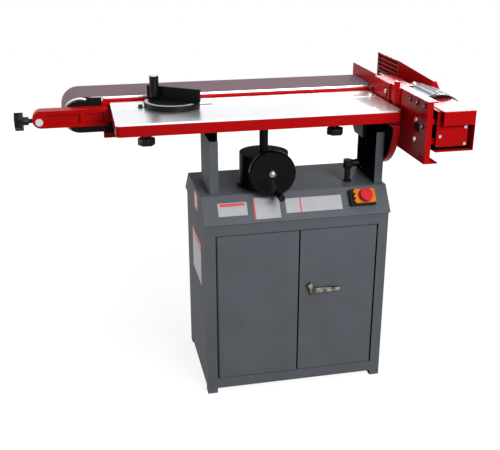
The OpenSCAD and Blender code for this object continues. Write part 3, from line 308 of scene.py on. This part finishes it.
def moulded_plastic(name, hex_colour, roughness=0.35):
    """Moulded ABS or phenolic: an even colour with a fine spark-eroded grain of about 1 mm and faint flow marks."""
    material, tree, shader, coords = new_surface(name, roughness, IOR=1.46, Specular_IOR_Level=0.15)
    flow = noise(tree, coords, 14 * MM, 2.0)
    colour_by(tree, shader, flow, linear(hex_colour), 0.9, 1.1)
    grain = noise(tree, coords, 1 * MM, 1.0)
    emboss(tree, shader, grain, 0.08, 0.1 * MM)
    return material


def ground_steel(name, hex_colour, lie=(1, 40, 40)):
    """Surface-ground steel: grinding lines along the piece, drawn 1.5 mm apart so that they show from a step away."""
    material, tree, shader, coords = new_surface(name, 0.24, 1.0)
    stretch = add(tree, "ShaderNodeMapping", inputs={"Vector": coords, "Scale": lie})
    lines = noise(tree, stretch.outputs["Vector"], 60 * MM, 4.0)
    colour_by(tree, shader, lines, linear(hex_colour), 0.95, 1.02)
    roughen_by(tree, shader, lines, 0.27, 0.33, From_Min=0.3, From_Max=0.7)
    emboss(tree, shader, lines, 0.03, 0.1 * MM)
    return material


def turned_steel(name, hex_colour, roughness=0.35):
    """Blackened or turned steel: oil-dark, with soft patches where the finish is thin."""
    material, tree, shader, coords = new_surface(name, roughness, 1.0)
    patches = noise(tree, coords, 8 * MM, 3.0)
    colour_by(tree, shader, patches, linear(hex_colour), 0.75, 1.3, 0.3, 0.75)
    roughen_by(tree, shader, patches, roughness - 0.08, roughness + 0.12)
    return material


def plated_bolts(name, dark_hex):
    """Bolts of the head: grey socket screws in the pan's top row and at its edge, bright zinc for the others."""
    material, tree, shader, coords = new_surface(name, 0.3, 1.0)
    patches = noise(tree, coords, 5 * MM, 3.0)
    zinc = ramp(tree, patches, linear("#a9acae"), linear("#d3d5d6"))
    grey = ramp(tree, patches, shade(linear(dark_hex), 1.6), shade(linear(dark_hex), 3.0))
    x, y, z = add(tree, "ShaderNodeSeparateXYZ", inputs={"Vector": coords}).outputs
    in_row = calc(tree, "GREATER_THAN", z, ROW_Z)
    at_edge = calc(tree, "LESS_THAN", y, EDGE_Y)
    outer = calc(tree, "LESS_THAN", x, BOLT_X)
    front = calc(tree, "LESS_THAN", y, PAN_HIGH.y)
    on_pan = calc(tree, "MULTIPLY", outer, front)
    socket_screw = calc(tree, "MULTIPLY", calc(tree, "MAXIMUM", in_row, at_edge), on_pan)
    tree.links.new(blend(tree, socket_screw, zinc, grey), shader.inputs["Base Color"])
    return material


def chrome_with_painted_reflection(name):
    """Chrome on a cast handle, with a painted reflection: a ripple moves its colour between olive dark, standing for
    the dark floor that it mirrors, and bright glints; the ripple also raises the surface.
    """
    material, tree, shader, coords = new_surface(name, 0.12, 1.0)
    ripple = noise(tree, coords, 14 * MM, 2.0)
    # Painted reflection: olive dark for the mirrored floor, bright for glints
    tint = ramp(tree, ripple, linear("#4c4839"), linear("#a3a196"), 0.38, 0.66)
    tree.links.new(tint, shader.inputs["Base Color"])
    emboss(tree, shader, ripple, 0.2, 1 * MM)
    return material


def abrasive_cloth(name, hex_colour):
    """Aluminium oxide grit on cloth: brown and violet grains, drawn 2 mm across so that they show in the picture."""
    material, tree, shader, coords = new_surface(name, 0.85, IOR=1.6)
    base = linear(hex_colour)
    grains = add(tree, "ShaderNodeTexVoronoi", inputs={"Vector": coords, "Scale": 1 / (2 * MM)})
    spots = ramp(tree, grains.outputs["Color"], shade(base, 0.62), shade(base, 1.35), 0.1, 0.9)
    wear = noise(tree, coords, 70 * MM, 3.0)
    worn = ramp(tree, wear, shade(base, 0.9), shade(base, 1.1))
    tree.links.new(blend(tree, 0.55, spots, worn), shader.inputs["Base Color"])
    emboss(tree, shader, grains.outputs["Distance"], 0.5, 0.4 * MM)
    return material


def sintered_bronze(name):
    """Bronze of the lift nut: warm, dull and porous."""
    material, tree, shader, coords = new_surface(name, 0.4, 1.0)
    pores = noise(tree, coords, 2 * MM, 2.0)
    tint = ramp(tree, pores, linear("#6b4c1c"), linear("#b58a46"))
    tree.links.new(tint, shader.inputs["Base Color"])
    return material


def belt_rubber(name):
    """Rubber of the drive belt: black and dusty."""
    material, tree, shader, coords = new_surface(name, 0.8, IOR=1.52)
    dust = noise(tree, coords, 6 * MM, 3.0)
    tint = ramp(tree, dust, linear("#101010"), linear("#2b2927"), 0.4, 0.8)
    tree.links.new(tint, shader.inputs["Base Color"])
    return material


def printed_film(name, hex_colour):
    """Printed polyester film of the bare plates: an even sheet with soft darker clouds and a sheen."""
    material, tree, shader, coords = new_surface(name, 0.38, IOR=1.58)
    age = noise(tree, coords, 25 * MM, 3.0)
    colour_by(tree, shader, age, linear(hex_colour), 0.93, 1.0)
    return material


# Meshes


def finish_piece(name, mesh, body, slot, *materials):
    """Turns a bmesh into a piece that rides on a body and takes the materials given; its slot is not used."""
    bmesh.ops.recalc_face_normals(mesh, faces=mesh.faces)
    data = bpy.data.meshes.new(name)
    mesh.to_mesh(data)
    mesh.free()
    for material in materials:
        data.materials.append(material)
    piece = bpy.data.objects.new(name, data)
    bpy.context.scene.collection.objects.link(piece)
    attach(piece, body)


def add_slab(mesh, low, high, place=None, rounding=0.0, material=0):
    """Adds a box between two corners, with rounded edges, moved by a matrix."""
    low, high = Vector(low), Vector(high)
    box = Matrix.Translation((low + high) / 2) @ Matrix.Diagonal((high - low).to_4d())
    verts = bmesh.ops.create_cube(mesh, size=1.0, matrix=box)["verts"]
    faces = {face for vert in verts for face in vert.link_faces}
    for face in faces:
        face.material_index = material
    if rounding:
        edges = list({edge for face in faces for edge in face.edges})
        made = bmesh.ops.bevel(
            mesh,
            geom=edges,
            offset=rounding,
            affect="EDGES",
            segments=2,
            profile=0.5,
            material=-1,
            clamp_overlap=True,
        )
        verts = list({vert for face in made["faces"] for vert in face.verts} | {v for v in verts if v.is_valid})
    if place is not None:
        bmesh.ops.transform(mesh, matrix=place, verts=verts)


def add_turned(mesh, profile, place, steps=48):
    """Adds a turned shape: a radius and height profile spun about the local Z axis, then moved by a matrix."""
    verts = [mesh.verts.new((radius, 0.0, height)) for radius, height in profile]
    edges = [mesh.edges.new(pair) for pair in zip(verts, verts[1:])]
    bmesh.ops.spin(
        mesh,
        geom=verts + edges,
        cent=(0, 0, 0),
        axis=(0, 0, 1),
        angle=2 * math.pi,
        steps=steps,
        use_merge=True,
    )
    bmesh.ops.remove_doubles(mesh, verts=mesh.verts, dist=0.001 * MM)
    for face in mesh.faces:
        face.smooth = True
    bmesh.ops.transform(mesh, matrix=place, verts=mesh.verts)


def on_slope(x, along):
    """Matrix of a spot on the hood's front: X across, Y up the slope, Z outwards."""
    lower = Vector((x, HOOD_LOW.y, HOOD_LOW.z))
    turn = Euler((math.pi / 2 - HOOD_LEAN, 0, 0)).to_matrix().to_4x4()
    return Matrix.Translation(lower) @ turn @ Matrix.Translation((0, along, 0))


# Finishes of the frame's own solids

FINISH_OF = {
    "red": [
        "quadrant", "table_apron", "head_beam", "idler_arm", "drive_housing", "motor_front",
        "motor_cover", "motor_pan", "stop_bracket", "stop_plate", "guard_wall",
    ],
    "grey": ["cabinet", "hood", "left_door", "right_door"],
    "posts": ["left_post", "right_post"],
    # The loop cover's black is partly its own colour and partly painted shade for the inside of the belt's loop
    # between the drums
    "cast": [
        "column_housing", "lock_stud", "mitre_head", "mitre_fence", "mitre_bar", "loop_cover",
        "trunnions", "lift_screw",
    ],
    "guide": ["table_saddle"],
    "plastic": [
        "switch_body", "lock_lever", "crank_grip", "table_knob_left", "table_knob_right", "mitre_knob",
        "tension_knob", "motor_ring",
    ],
    "steel": ["table_top", "platen"],
    "drum": ["idler_drum", "drive_drum", "drive_bearings"],
    "dark": [
        "post_bolts", "hinge_pins", "pivot_pins", "latch_cam", "idler_block",
        "idler_shaft", "drive_shaft", "drum_pulley", "motor_pulley", "rotor",
    ],
    "bolts": ["head_bolts"],
    "wheel": ["handwheel"],
    "chrome": ["door_handle"],
    "hub": ["wheel_shaft"],
    "abrasive": ["sanding_belt"],
    "motor": ["motor_body"],
    "yellow": ["switch_flap"],
    "button": ["stop_button"],
    "green": ["start_button"],
    "bronze": ["lift_nut"],
    "rubber": ["drive_belt"],
}

# Solids with wider or finer rounding than the rest
EDGE_OF = {
    "hood": 3 * MM,
    "handwheel": 2 * MM,
    "crank_grip": 3 * MM,
    "stop_button": 2 * MM,
    "table_top": 0.4 * MM,
    "door_handle": 3 * MM,
    "table_knob_left": 4 * MM,
    "table_knob_right": 4 * MM,
    "tension_knob": 3 * MM,
    "lock_lever": 2 * MM,
}

# Solids whose edges stay sharp: running surfaces, thin belts and fine fins
SHARP = {"sanding_belt", "drive_belt", "motor_body", "start_button", "hinge_pins", "pivot_pins", "drive_bearings"}


class SANDER_OT_finishes(Operator):
    """Paints the frame's solids and rounds their edges"""

    bl_idname = "edge_sander.finishes"
    bl_label = "Finish the Solids"

    weld_gap = 0.01 * MM
    sharp_from = math.radians(50)

    def execute(self, context):
        colours = context.scene.edge_sander_colours
        finishes = {
            "red": gloss_paint("red_stoving_enamel", colours.red),
            "grey": sheet_paint("grey_sheet_enamel", colours.grey),
            # The posts' insides are painted black as shade
            "posts": shaded_post_paint("grey_post_painted_shade", colours.grey, colours.black),
            "cast": cast_enamel("black_cast_enamel", colours.black),
            "guide": cast_enamel("matt_guide_enamel", colours.black, gloss=0.0),
            "plastic": moulded_plastic("black_phenolic", colours.black, 0.3),
            "steel": ground_steel("ground_steel", colours.steel),
            "drum": ground_steel("turned_drum_steel", colours.steel, lie=(40, 1, 40)),
            "dark": turned_steel("blackened_steel", colours.dark_steel),
            "bolts": plated_bolts("plated_bolts", colours.dark_steel),
            "wheel": gloss_paint("black_wheel_enamel", colours.wheel, 0.1, orange_peel=0.03, gloss=0.08),
            "hub": turned_steel("turned_hub_steel", colours.hub, 0.25),
            "chrome": chrome_with_painted_reflection("chrome_painted_reflection"),
            "abrasive": abrasive_cloth("abrasive_cloth", colours.abrasive),
            "motor": gloss_paint("motor_enamel", colours.motor, 0.35, orange_peel=0.06, gloss=0.5),
            "yellow": moulded_plastic("yellow_abs", colours.yellow),
            "button": moulded_plastic("red_abs", colours.button, 0.3),
            "green": moulded_plastic("green_abs", colours.green),
            "bronze": sintered_bronze("sintered_bronze"),
            "rubber": belt_rubber("belt_rubber"),
        }
        edge = context.scene.edge_sander_sizes.edge
        for finish, names in FINISH_OF.items():
            for name in names:
                solid = frame["nodes"][name]
                solid.data.materials.clear()
                solid.data.materials.append(finishes[finish])
                if name not in SHARP:
                    self.round_edges(solid, EDGE_OF.get(name, edge))
        return {"FINISHED"}

    def round_edges(self, solid, edge):
        """Joins the solid's loose triangles and rounds its sharp edges."""
        weld = solid.modifiers.new("join", "WELD")
        weld.merge_threshold = self.weld_gap
        bevel = solid.modifiers.new("round", "BEVEL")
        bevel.width = edge
        bevel.segments = 2
        bevel.limit_method = "ANGLE"
        bevel.angle_limit = self.sharp_from
        bevel.use_clamp_overlap = True
        bevel.harden_normals = True


# Bare plates on the hood: left and right edge, lower and upper edge up the slope, and where the red stripe lies
HOOD_PLATES = [
    (-216 * MM, -137 * MM, 24 * MM, 61 * MM, "top"),
    (-120 * MM, -48 * MM, 10 * MM, 70 * MM, "left"),
    (-32 * MM, 125 * MM, 21 * MM, 62 * MM, "middle"),
]

# Bare plates on the left side: front, back, lower and upper edge, and which film they are
SIDE_PLATES = [
    (-90 * MM, 62 * MM, 305 * MM, 404 * MM, 0),
    (-90 * MM, 62 * MM, 404.5 * MM, 428 * MM, 1),
    (-80 * MM, -25 * MM, 522 * MM, 566 * MM, 2),
]


class SANDER_OT_plates(Operator):
    """Sets the bare plates with their red stripes on the hood, and those on the stand's left side"""

    bl_idname = "edge_sander.plates"
    bl_label = "Bare Plates"

    stripe = 4 * MM

    # The bar along a plate's top: its share of the width, and its lower and upper edge from the plate's top
    bar_share = 0.85
    bar_low = 10.4 * MM
    bar_high = 2 * MM

    # Where the middle stripe starts, as a share of the half width
    middle_share = 0.5

    # A stripe's underside and top, in thicknesses of its plate
    stripe_layer = (0.5, 1.25)

    def execute(self, context):
        colours = context.scene.edge_sander_colours
        thick = context.scene.edge_sander_sizes.plate_thickness
        under, over = (share * thick for share in self.stripe_layer)
        rounding = thick / 3
        mesh = bmesh.new()
        for left, right, low, high, side in HOOD_PLATES:
            place = on_slope((left + right) / 2, (low + high) / 2)
            w, h = (right - left) / 2, (high - low) / 2
            add_slab(mesh, (-w, -h, 0), (w, h, thick), place, rounding)
            bar, middle = w * self.bar_share, -w * self.middle_share
            x0, y0, x1, y1 = {
                "top": (-bar, h - self.bar_low, bar, h - self.bar_high),
                "left": (-w, -h, -w + self.stripe, h),
                "middle": (middle, -h, middle + self.stripe, h),
            }[side]
            add_slab(mesh, (x0, y0, under), (x1, y1, over), place, material=1)
        for y0, y1, z0, z1, material in SIDE_PLATES:
            side = HOOD_LOW.x if z0 > HOOD_LOW.z else CABINET_LOW.x
            add_slab(mesh, (side - thick, y0, z0), (side, y1, z1), None, rounding, material)
        film = printed_film("plate_film", colours.plate)
        stripe = printed_film("stripe_film", colours.button)
        amber = printed_film("amber_film", colours.yellow)
        finish_piece("bare_plates", mesh, "stand", "grey_paint", film, stripe, amber)
        return {"FINISHED"}


class SANDER_OT_mitre_scale(Operator):
    """Lays the pale scale round the mitre gauge, with its degree marks, and the disc on its knob"""

    bl_idname = "edge_sander.mitre_scale"
    bl_label = "Mitre Scale"

    # The band: how the gauge is turned, how far the band goes round, its outer radius, underside and top
    turn = math.radians(-36)
    arc = math.radians(150)
    radius = 75.5 * MM
    under = -0.2 * MM
    over = 0.35 * MM
    steps = 48

    # The marks: every fourth is long, both as shares of the band
    marks = 25
    long_every = 4
    long_share = 0.75
    short_share = 0.45
    mark_half = 0.35 * MM
    mark_in = 0.5 * MM
    mark_sunk = 0.2 * MM
    mark_rise = 0.1 * MM

    # The knob's disc
    disc_in = 2 * MM
    disc_sunk = 0.3 * MM

    def execute(self, context):
        self.band(context.scene.edge_sander_sizes.scale_band)
        self.disc()
        return {"FINISHED"}

    def band(self, width):
        """The pale band and its marks, made round the origin and then set on the gauge."""
        pivot = next(j for j in frame["joints"] if j["name"] == "mitre_swivel")["pos_m"]
        place = Matrix.Translation((pivot[0], pivot[1], HEAD_TOP)) @ Matrix.Rotation(self.turn, 4, "Z")
        inner, start = self.radius - width, -math.pi / 2 - self.arc / 2
        mesh = bmesh.new()
        corners = [(inner, self.under), (self.radius, self.under), (self.radius, self.over), (inner, self.over)]
        first = mesh.faces.new(
            [mesh.verts.new((r * math.cos(start), r * math.sin(start), z)) for r, z in corners]
        )
        bmesh.ops.spin(
            mesh,
            geom=[first],
            cent=(0, 0, 0),
            axis=(0, 0, 1),
            angle=self.arc,
            steps=self.steps,
            use_merge=False,
        )
        for i in range(self.marks):
            length = width * (self.short_share if i % self.long_every else self.long_share)
            add_slab(
                mesh,
                (self.radius - length, -self.mark_half, self.over - self.mark_sunk),
                (self.radius - self.mark_in, self.mark_half, self.over + self.mark_rise),
                Matrix.Rotation(start + self.arc * (i + 0.5) / self.marks, 4, "Z"),
                material=1,
            )
        bmesh.ops.transform(mesh, matrix=place, verts=mesh.verts)
        pale = printed_film("scale_aluminium", "#c9ccd0")
        ink = printed_film("scale_ink", "#1a1a1c")
        finish_piece("mitre_scale", mesh, "mitre_head", "ground_steel", pale, ink)

    def disc(self):
        """A bright, slightly domed disc let into the top of the clamping knob."""
        mesh = bmesh.new()
        centre = (KNOB_LOW + KNOB_HIGH) / 2
        cap = (KNOB_HIGH.x - KNOB_LOW.x) / 2 - self.disc_in
        profile = [(0, 0), (cap, 0), (cap, 0.3 * MM), (cap - 0.5 * MM, 0.6 * MM), (0, 0.8 * MM)]
        place = Matrix.Translation((centre.x, centre.y, KNOB_HIGH.z - self.disc_sunk))
        add_turned(mesh, profile, place)
        finish_piece("mitre_knob_disc", mesh, "mitre_knob", "ground_steel", ground_steel("disc_steel", "#dfe2e6"))


class SANDER_OT_fittings(Operator):
    """Adds black hexagons on the pan's socket screws, which paint the shade in their sockets, and the cable gland in
    the cabinet's back
    """

    bl_idname = "edge_sander.fittings"
    bl_label = "Bolt Sockets and Gland"

    # Hexagon sockets, drawn as thin black hexagons on the heads that paint the shade in the sockets: radius, depth,
    # and a cell that holds the faces of one bolt head only
    socket = 3.2 * MM
    socket_depth = 0.4 * MM
    bolt_cell = 15 * MM

    # The gland's place on the back, and its outline as radius and height
    gland_x = 180 * MM
    gland_z = 470 * MM
    gland_steps = 32
    gland = [
        (0, 0),
        (13 * MM, 0),
        (13 * MM, 5 * MM),
        (10 * MM, 6 * MM),
        (10 * MM, 14 * MM),
        (8 * MM, 20 * MM),
        (5 * MM, 22 * MM),
        (4 * MM, 21 * MM),
        (4 * MM, 12 * MM),
        (0, 12 * MM),
    ]

    def execute(self, context):
        colours = context.scene.edge_sander_colours
        # Black moulding: the gland's own colour, and the painted shade in the bolt sockets
        black = moulded_plastic("black_polyamide", colours.black, 0.4)
        mesh = bmesh.new()
        # One black hexagon of painted shade on each socket screw's head
        for centre in self.bolt_faces(frame["nodes"]["head_bolts"].data):
            bmesh.ops.create_cone(
                mesh,
                cap_ends=True,
                segments=6,
                radius1=self.socket,
                radius2=self.socket,
                depth=self.socket_depth,
                matrix=Matrix.Translation(centre) @ Matrix.Rotation(-math.pi / 2, 4, "Y"),
            )
        finish_piece("bolt_socket_shade", mesh, "head", "black_plastic", black)

        mesh = bmesh.new()
        back = Matrix.Translation((self.gland_x, CABINET_HIGH.y, self.gland_z))
        add_turned(mesh, self.gland, back @ Matrix.Rotation(-math.pi / 2, 4, "X"), self.gland_steps)
        finish_piece("cable_gland", mesh, "stand", "black_plastic", black)
        return {"FINISHED"}

    def bolt_faces(self, data):
        """Middles of the socket screws' outer faces on the pan, which look to -X."""
        ends = {}
        for face in data.polygons:
            row = face.center.z > ROW_Z or face.center.y < EDGE_Y
            if row and face.normal.x < -0.99 and face.center.y < PAN_HIGH.y:
                key = tuple(round(c / self.bolt_cell) for c in face.center[1:])
                ends.setdefault(key, []).extend(data.vertices[i].co for i in face.vertices)
        for points in ends.values():
            yield sum(points, Vector()) / len(points)


class SANDER_OT_louvres(Operator):
    """Presses the hoods of the louvres on the outer side of the guard wall"""

    bl_idname = "edge_sander.louvres"
    bl_label = "Louvre Hoods"

    # The wall's slots, as the part's source has them
    wall = 3 * MM
    before_belt = 9 * MM
    count = 5
    pitch = 12.5 * MM
    below_top = 12.5 * MM
    slot = 8.5 * MM
    margin = 4 * MM
    spigot_rise = 111.5 * MM

    # The hoods: how far they stand out, and how far they pass their slot above and below
    reach = 7 * MM
    above = 0.5 * MM
    overhang = 4.5 * MM
    sheet = 0.8 * MM
    bend_steps = 6

    def execute(self, context):
        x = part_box("drive_housing")[1].x + self.wall
        y0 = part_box("sanding_belt")[0].y - self.before_belt + self.margin
        y1 = GUARD_HIGH.y - self.margin
        spigot_top = GUARD_LOW.z + self.spigot_rise
        mesh = bmesh.new()
        for i in range(self.count):
            low = GUARD_HIGH.z - self.below_top - i * self.pitch
            self.hood(mesh, x, y0, y1, low + self.slot + self.above, max(low - self.overhang, spigot_top))
        bmesh.ops.solidify(mesh, geom=mesh.faces[:], thickness=self.sheet)
        paint = gloss_paint("louvre_enamel", context.scene.edge_sander_colours.red)
        finish_piece("louvre_hoods", mesh, "head", "red_paint", paint)
        return {"FINISHED"}

    def hood(self, mesh, x, y0, y1, high, foot):
        """One hood: a sheet that leaves the wall above its slot, bends down past it, and has closed ends."""
        angles = [k * math.pi / 2 / self.bend_steps for k in range(self.bend_steps + 1)]
        curve = [(x + self.reach * math.sin(a), high - (high - foot) * (1 - math.cos(a))) for a in angles]
        ends = []
        for y in (y0, y1):
            ends.append([mesh.verts.new((a, y, b)) for a, b in curve])
            mesh.faces.new(ends[-1] + [mesh.verts.new((x, y, foot))])
        near, far = ends
        for k in range(self.bend_steps):
            mesh.faces.new((near[k], near[k + 1], far[k + 1], far[k]))


class SANDER_OT_shade_sheets(Operator):
    """Puts thin black sheets in the hollows of the motor pan, the tilt dish and the beam's end: painted shade where
    these hollows lie in shadow
    """

    bl_idname = "edge_sander.liners"
    bl_label = "Painted Shade Sheets"

    thick = 0.8 * MM
    clear = 1 * MM
    seam = 2 * MM

    # The pan: its sheet, how far its black sheet of painted shade stays in from the front edge and the rims, and the
    # motor's feet in it
    pan_wall = 3 * MM
    pan_front = 4 * MM
    pan_rim = 5 * MM
    feet = (736 * MM, 786 * MM)
    foot_half = 9 * MM

    # The motor's end and its cover: depth of the end, and how far the cover's black sheet of painted shade goes to the
    # front and the right
    front_depth = 31 * MM
    cover_front = 6 * MM
    cover_right = 4 * MM

    # The beam's end: how far its black sheet of painted shade stays in from the left and from below, and how far it
    # goes behind the table
    beam_left = 4 * MM
    beam_low = 14 * MM
    behind_table = 30 * MM

    # The tilt dish: its rim, how deep its black sheet of painted shade lies in it, and the points along the sheet's
    # edge
    dish_rim = 5.5 * MM
    dish_depth = 4 * MM
    dish_steps = 48

    def execute(self, context):
        # Near-black matt surface of the sheets of painted shade
        shade_black = moulded_plastic("painted_shade_black", "#050505", 0.9)
        self.shade_head_hollows(shade_black)
        self.shade_dish_hollow(shade_black)
        return {"FINISHED"}

    def shade_head_hollows(self, shade_black):
        """Black sheets of painted shade behind the pan and beside the motor's end, left open at the motor's feet, and
        two more on the head.
        """
        mesh = bmesh.new()
        pan = PAN_LOW.x + self.pan_wall
        side = FRONT_LOW.x + self.front_depth
        back = FRONT_HIGH.y - self.seam
        levels = [PAN_LOW.z + self.pan_rim]
        for foot in self.feet:
            levels += [foot - self.foot_half, foot + self.foot_half]
        levels.append(PAN_HIGH.z - self.pan_rim)
        for low, high in zip(levels[::2], levels[1::2]):
            add_slab(mesh, (pan, PAN_LOW.y + self.pan_front, low), (pan + self.thick, PAN_HIGH.y - self.seam, high))
            low, high = max(low, FRONT_LOW.z + self.clear), min(high, FRONT_HIGH.z - self.clear)
            add_slab(mesh, (side - self.thick, FRONT_LOW.y + self.seam, low), (side, back, high))
        floor = COVER_LOW.z + self.seam
        add_slab(
            mesh,
            (COVER_LOW.x + self.clear, FRONT_LOW.y - self.cover_front, floor),
            (COVER_HIGH.x - self.cover_right, back, floor + self.thick),
        )
        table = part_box("table_top")[0]
        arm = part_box("idler_arm")[0]
        add_slab(
            mesh,
            (BEAM_LOW.x + self.beam_left, BEAM_LOW.y - self.thick, BEAM_LOW.z + self.beam_low),
            (table.x + self.behind_table, BEAM_LOW.y, arm.z - self.clear),
        )
        finish_piece("head_painted_shade", mesh, "head", "black_plastic", shade_black)

    def shade_dish_hollow(self, shade_black):
        """A half-round black sheet of painted shade in the tilt dish, a little below the dish's straight edge."""
        mesh = bmesh.new()
        x = DISH_HIGH.x - self.dish_depth
        centre = (DISH_LOW.y + DISH_HIGH.y) / 2
        radius = (DISH_HIGH.y - DISH_LOW.y) / 2 - self.dish_rim
        start = math.asin(self.dish_rim / radius)
        step = (math.pi - 2 * start) / self.dish_steps
        angles = [math.pi + start + step * k for k in range(self.dish_steps + 1)]
        face = mesh.faces.new(
            [mesh.verts.new((x, centre + radius * math.cos(a), DISH_HIGH.z + radius * math.sin(a))) for a in angles]
        )
        lifted = bmesh.ops.extrude_face_region(mesh, geom=[face])["geom"]
        moved = [item for item in lifted if isinstance(item, bmesh.types.BMVert)]
        bmesh.ops.translate(mesh, verts=moved, vec=(-self.thick, 0, 0))
        finish_piece("dish_painted_shade", mesh, "stand", "black_plastic", shade_black)


class SANDER_OT_studio(Operator):
    """Sets up the pale floor, the soft lamps, the sky and the camera"""

    bl_idname = "edge_sander.studio"
    bl_label = "Studio"

    # Name, place, power, width and depth of each lamp, and the spot they all point at
    lamps = [
        ("key", (1.1, -3.3, 2.5), 117.0, 2.0, 1.4),
        ("top", (0.3, -0.4, 3.6), 48.0, 2.0, 2.0),
        ("rim", (-2.4, 1.2, 1.0), 20.0, 1.2, 1.2),
        ("spark", (0.5, -3.8, 1.5), 17.0, 0.7, 0.45),
        ("glare", (2.4, 4.0, 1.75), 38.0, 1.2, 0.7),
    ]
    target = Vector((0.0, 0.0, 0.6))

    # The floor's half width, and its glow to the eye at a near and a far distance
    floor_half = 3.2
    glow = {"From Min": 0.8, "From Max": 2.4, "To Min": 0.88, "To Max": 1.0}

    # The sky's strength as light, and to the eye
    sky_light = 0.05
    sky_seen = 1.0

    sensor = 36.0

    def execute(self, context):
        scene = context.scene
        self.floor(scene)
        for lamp in self.lamps:
            self.lamp(scene, *lamp)
        self.sky(scene)
        self.camera(scene)
        scene.view_settings.view_transform = "Standard"
        return {"FINISHED"}

    def lamp(self, scene, name, place, power, width, depth):
        """A soft rectangular lamp that points at the target."""
        lamp = bpy.data.lights.new(name, "AREA")
        lamp.energy = power
        lamp.shape = "RECTANGLE"
        lamp.size = width
        lamp.size_y = depth
        holder = bpy.data.objects.new(name, lamp)
        holder.location = place
        holder.rotation_euler = (self.target - Vector(place)).to_track_quat("-Z", "Y").to_euler()
        scene.collection.objects.link(holder)

    def camera(self, scene):
        """The camera at the photograph's viewing angle."""
        sizes = scene.edge_sander_sizes
        camera = bpy.data.cameras.new("camera")
        camera.lens = sizes.lens
        camera.sensor_width = self.sensor
        camera.sensor_fit = "HORIZONTAL"
        eye = bpy.data.objects.new("camera", camera)
        eye.location = sizes.camera_place
        eye.rotation_euler = sizes.camera_turn
        scene.collection.objects.link(eye)
        scene.camera = eye

    def seen_ray(self, tree):
        """1 for camera, glossy and transmission rays, so that the picture and its reflections see white."""
        path = add(tree, "ShaderNodeLightPath").outputs
        seen = calc(tree, "MAXIMUM", path["Is Camera Ray"], path["Is Glossy Ray"])
        return calc(tree, "MAXIMUM", seen, path["Is Transmission Ray"])

    def floor(self, scene):
        """A white floor that keeps the object's shadow near it and passes into the white surroundings further out."""
        mesh = bmesh.new()
        bmesh.ops.create_grid(mesh, x_segments=1, y_segments=1, size=self.floor_half)
        data = bpy.data.meshes.new("studio_floor")
        mesh.to_mesh(data)
        mesh.free()
        plane = bpy.data.objects.new("studio_floor", data)
        scene.collection.objects.link(plane)
        material = bpy.data.materials.new("studio_paper")
        material.use_nodes = True
        tree = material.node_tree
        tree.nodes.clear()
        paper = add(tree, "ShaderNodeBsdfDiffuse", inputs={"Color": linear("#7f7f7f")}).outputs[0]
        spot = add(tree, "ShaderNodeTexCoord").outputs["Object"]
        away = add(tree, "ShaderNodeVectorMath", {"operation": "LENGTH"}, {0: spot}).outputs["Value"]
        rise = add(tree, "ShaderNodeMapRange", inputs={"Value": away, **self.glow}).outputs["Result"]
        glow = add(tree, "ShaderNodeEmission", inputs={"Color": linear("#ffffff"), "Strength": rise}).outputs[0]
        both = add(tree, "ShaderNodeAddShader", inputs={0: paper, 1: glow}).outputs[0]
        seen = add(tree, "ShaderNodeMixShader", inputs={0: self.seen_ray(tree), 1: paper, 2: both}).outputs[0]
        add(tree, "ShaderNodeOutputMaterial", inputs={"Surface": seen})
        data.materials.append(material)
        plane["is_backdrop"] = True

    def sky(self, scene):
        """Even white surroundings: white to the eye and in reflections, grey as light."""
        world = bpy.data.worlds.new("studio_sky")
        world.use_nodes = True
        tree = world.node_tree
        tree.nodes.clear()
        dim, white = (
            add(tree, "ShaderNodeBackground", inputs={"Color": linear("#ffffff"), "Strength": strength}).outputs[0]
            for strength in (self.sky_light, self.sky_seen)
        )
        mix = add(tree, "ShaderNodeMixShader", inputs={0: self.seen_ray(tree), 1: dim, 2: white}).outputs[0]
        add(tree, "ShaderNodeOutputWorld", inputs={"Surface": mix})
        scene.world = world


class SANDER_PT_panel(Panel):
    """Lists the steps that dress the edge sander"""

    bl_idname = "SANDER_PT_panel"
    bl_label = "Edge Sander"
    bl_space_type = "VIEW_3D"
    bl_region_type = "UI"
    bl_category = "Edge Sander"

    def draw(self, context):
        column = self.layout.column()
        for step in STEPS:
            column.operator(step.bl_idname)
        for group in (context.scene.edge_sander_colours, context.scene.edge_sander_sizes):
            for name in group.__annotations__:
                column.prop(group, name)


STEPS = [
    SANDER_OT_finishes,
    SANDER_OT_plates,
    SANDER_OT_mitre_scale,
    SANDER_OT_fittings,
    SANDER_OT_louvres,
    SANDER_OT_shade_sheets,
    SANDER_OT_studio,
]
CLASSES = [EdgeSanderColours, EdgeSanderSizes, *STEPS, SANDER_PT_panel]


def register():
    for cls in CLASSES:
        bpy.utils.register_class(cls)
    bpy.types.Scene.edge_sander_colours = PointerProperty(type=EdgeSanderColours)
    bpy.types.Scene.edge_sander_sizes = PointerProperty(type=EdgeSanderSizes)


def unregister():
    del bpy.types.Scene.edge_sander_sizes
    del bpy.types.Scene.edge_sander_colours
    for cls in reversed(CLASSES):
        bpy.utils.unregister_class(cls)


def main():
    """Dresses the frame, step by step, and works out how large it is with and without the trim."""
    register()
    for step in STEPS:
        group, name = step.bl_idname.split(".")
        getattr(getattr(bpy.ops, group), name)()
    boxes = {"cad": CAD_BOX, "visual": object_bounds()}
    sizes = {key: [list(corner) for corner in box] for key, box in boxes.items()}


if __name__ == "__main__":
    main()
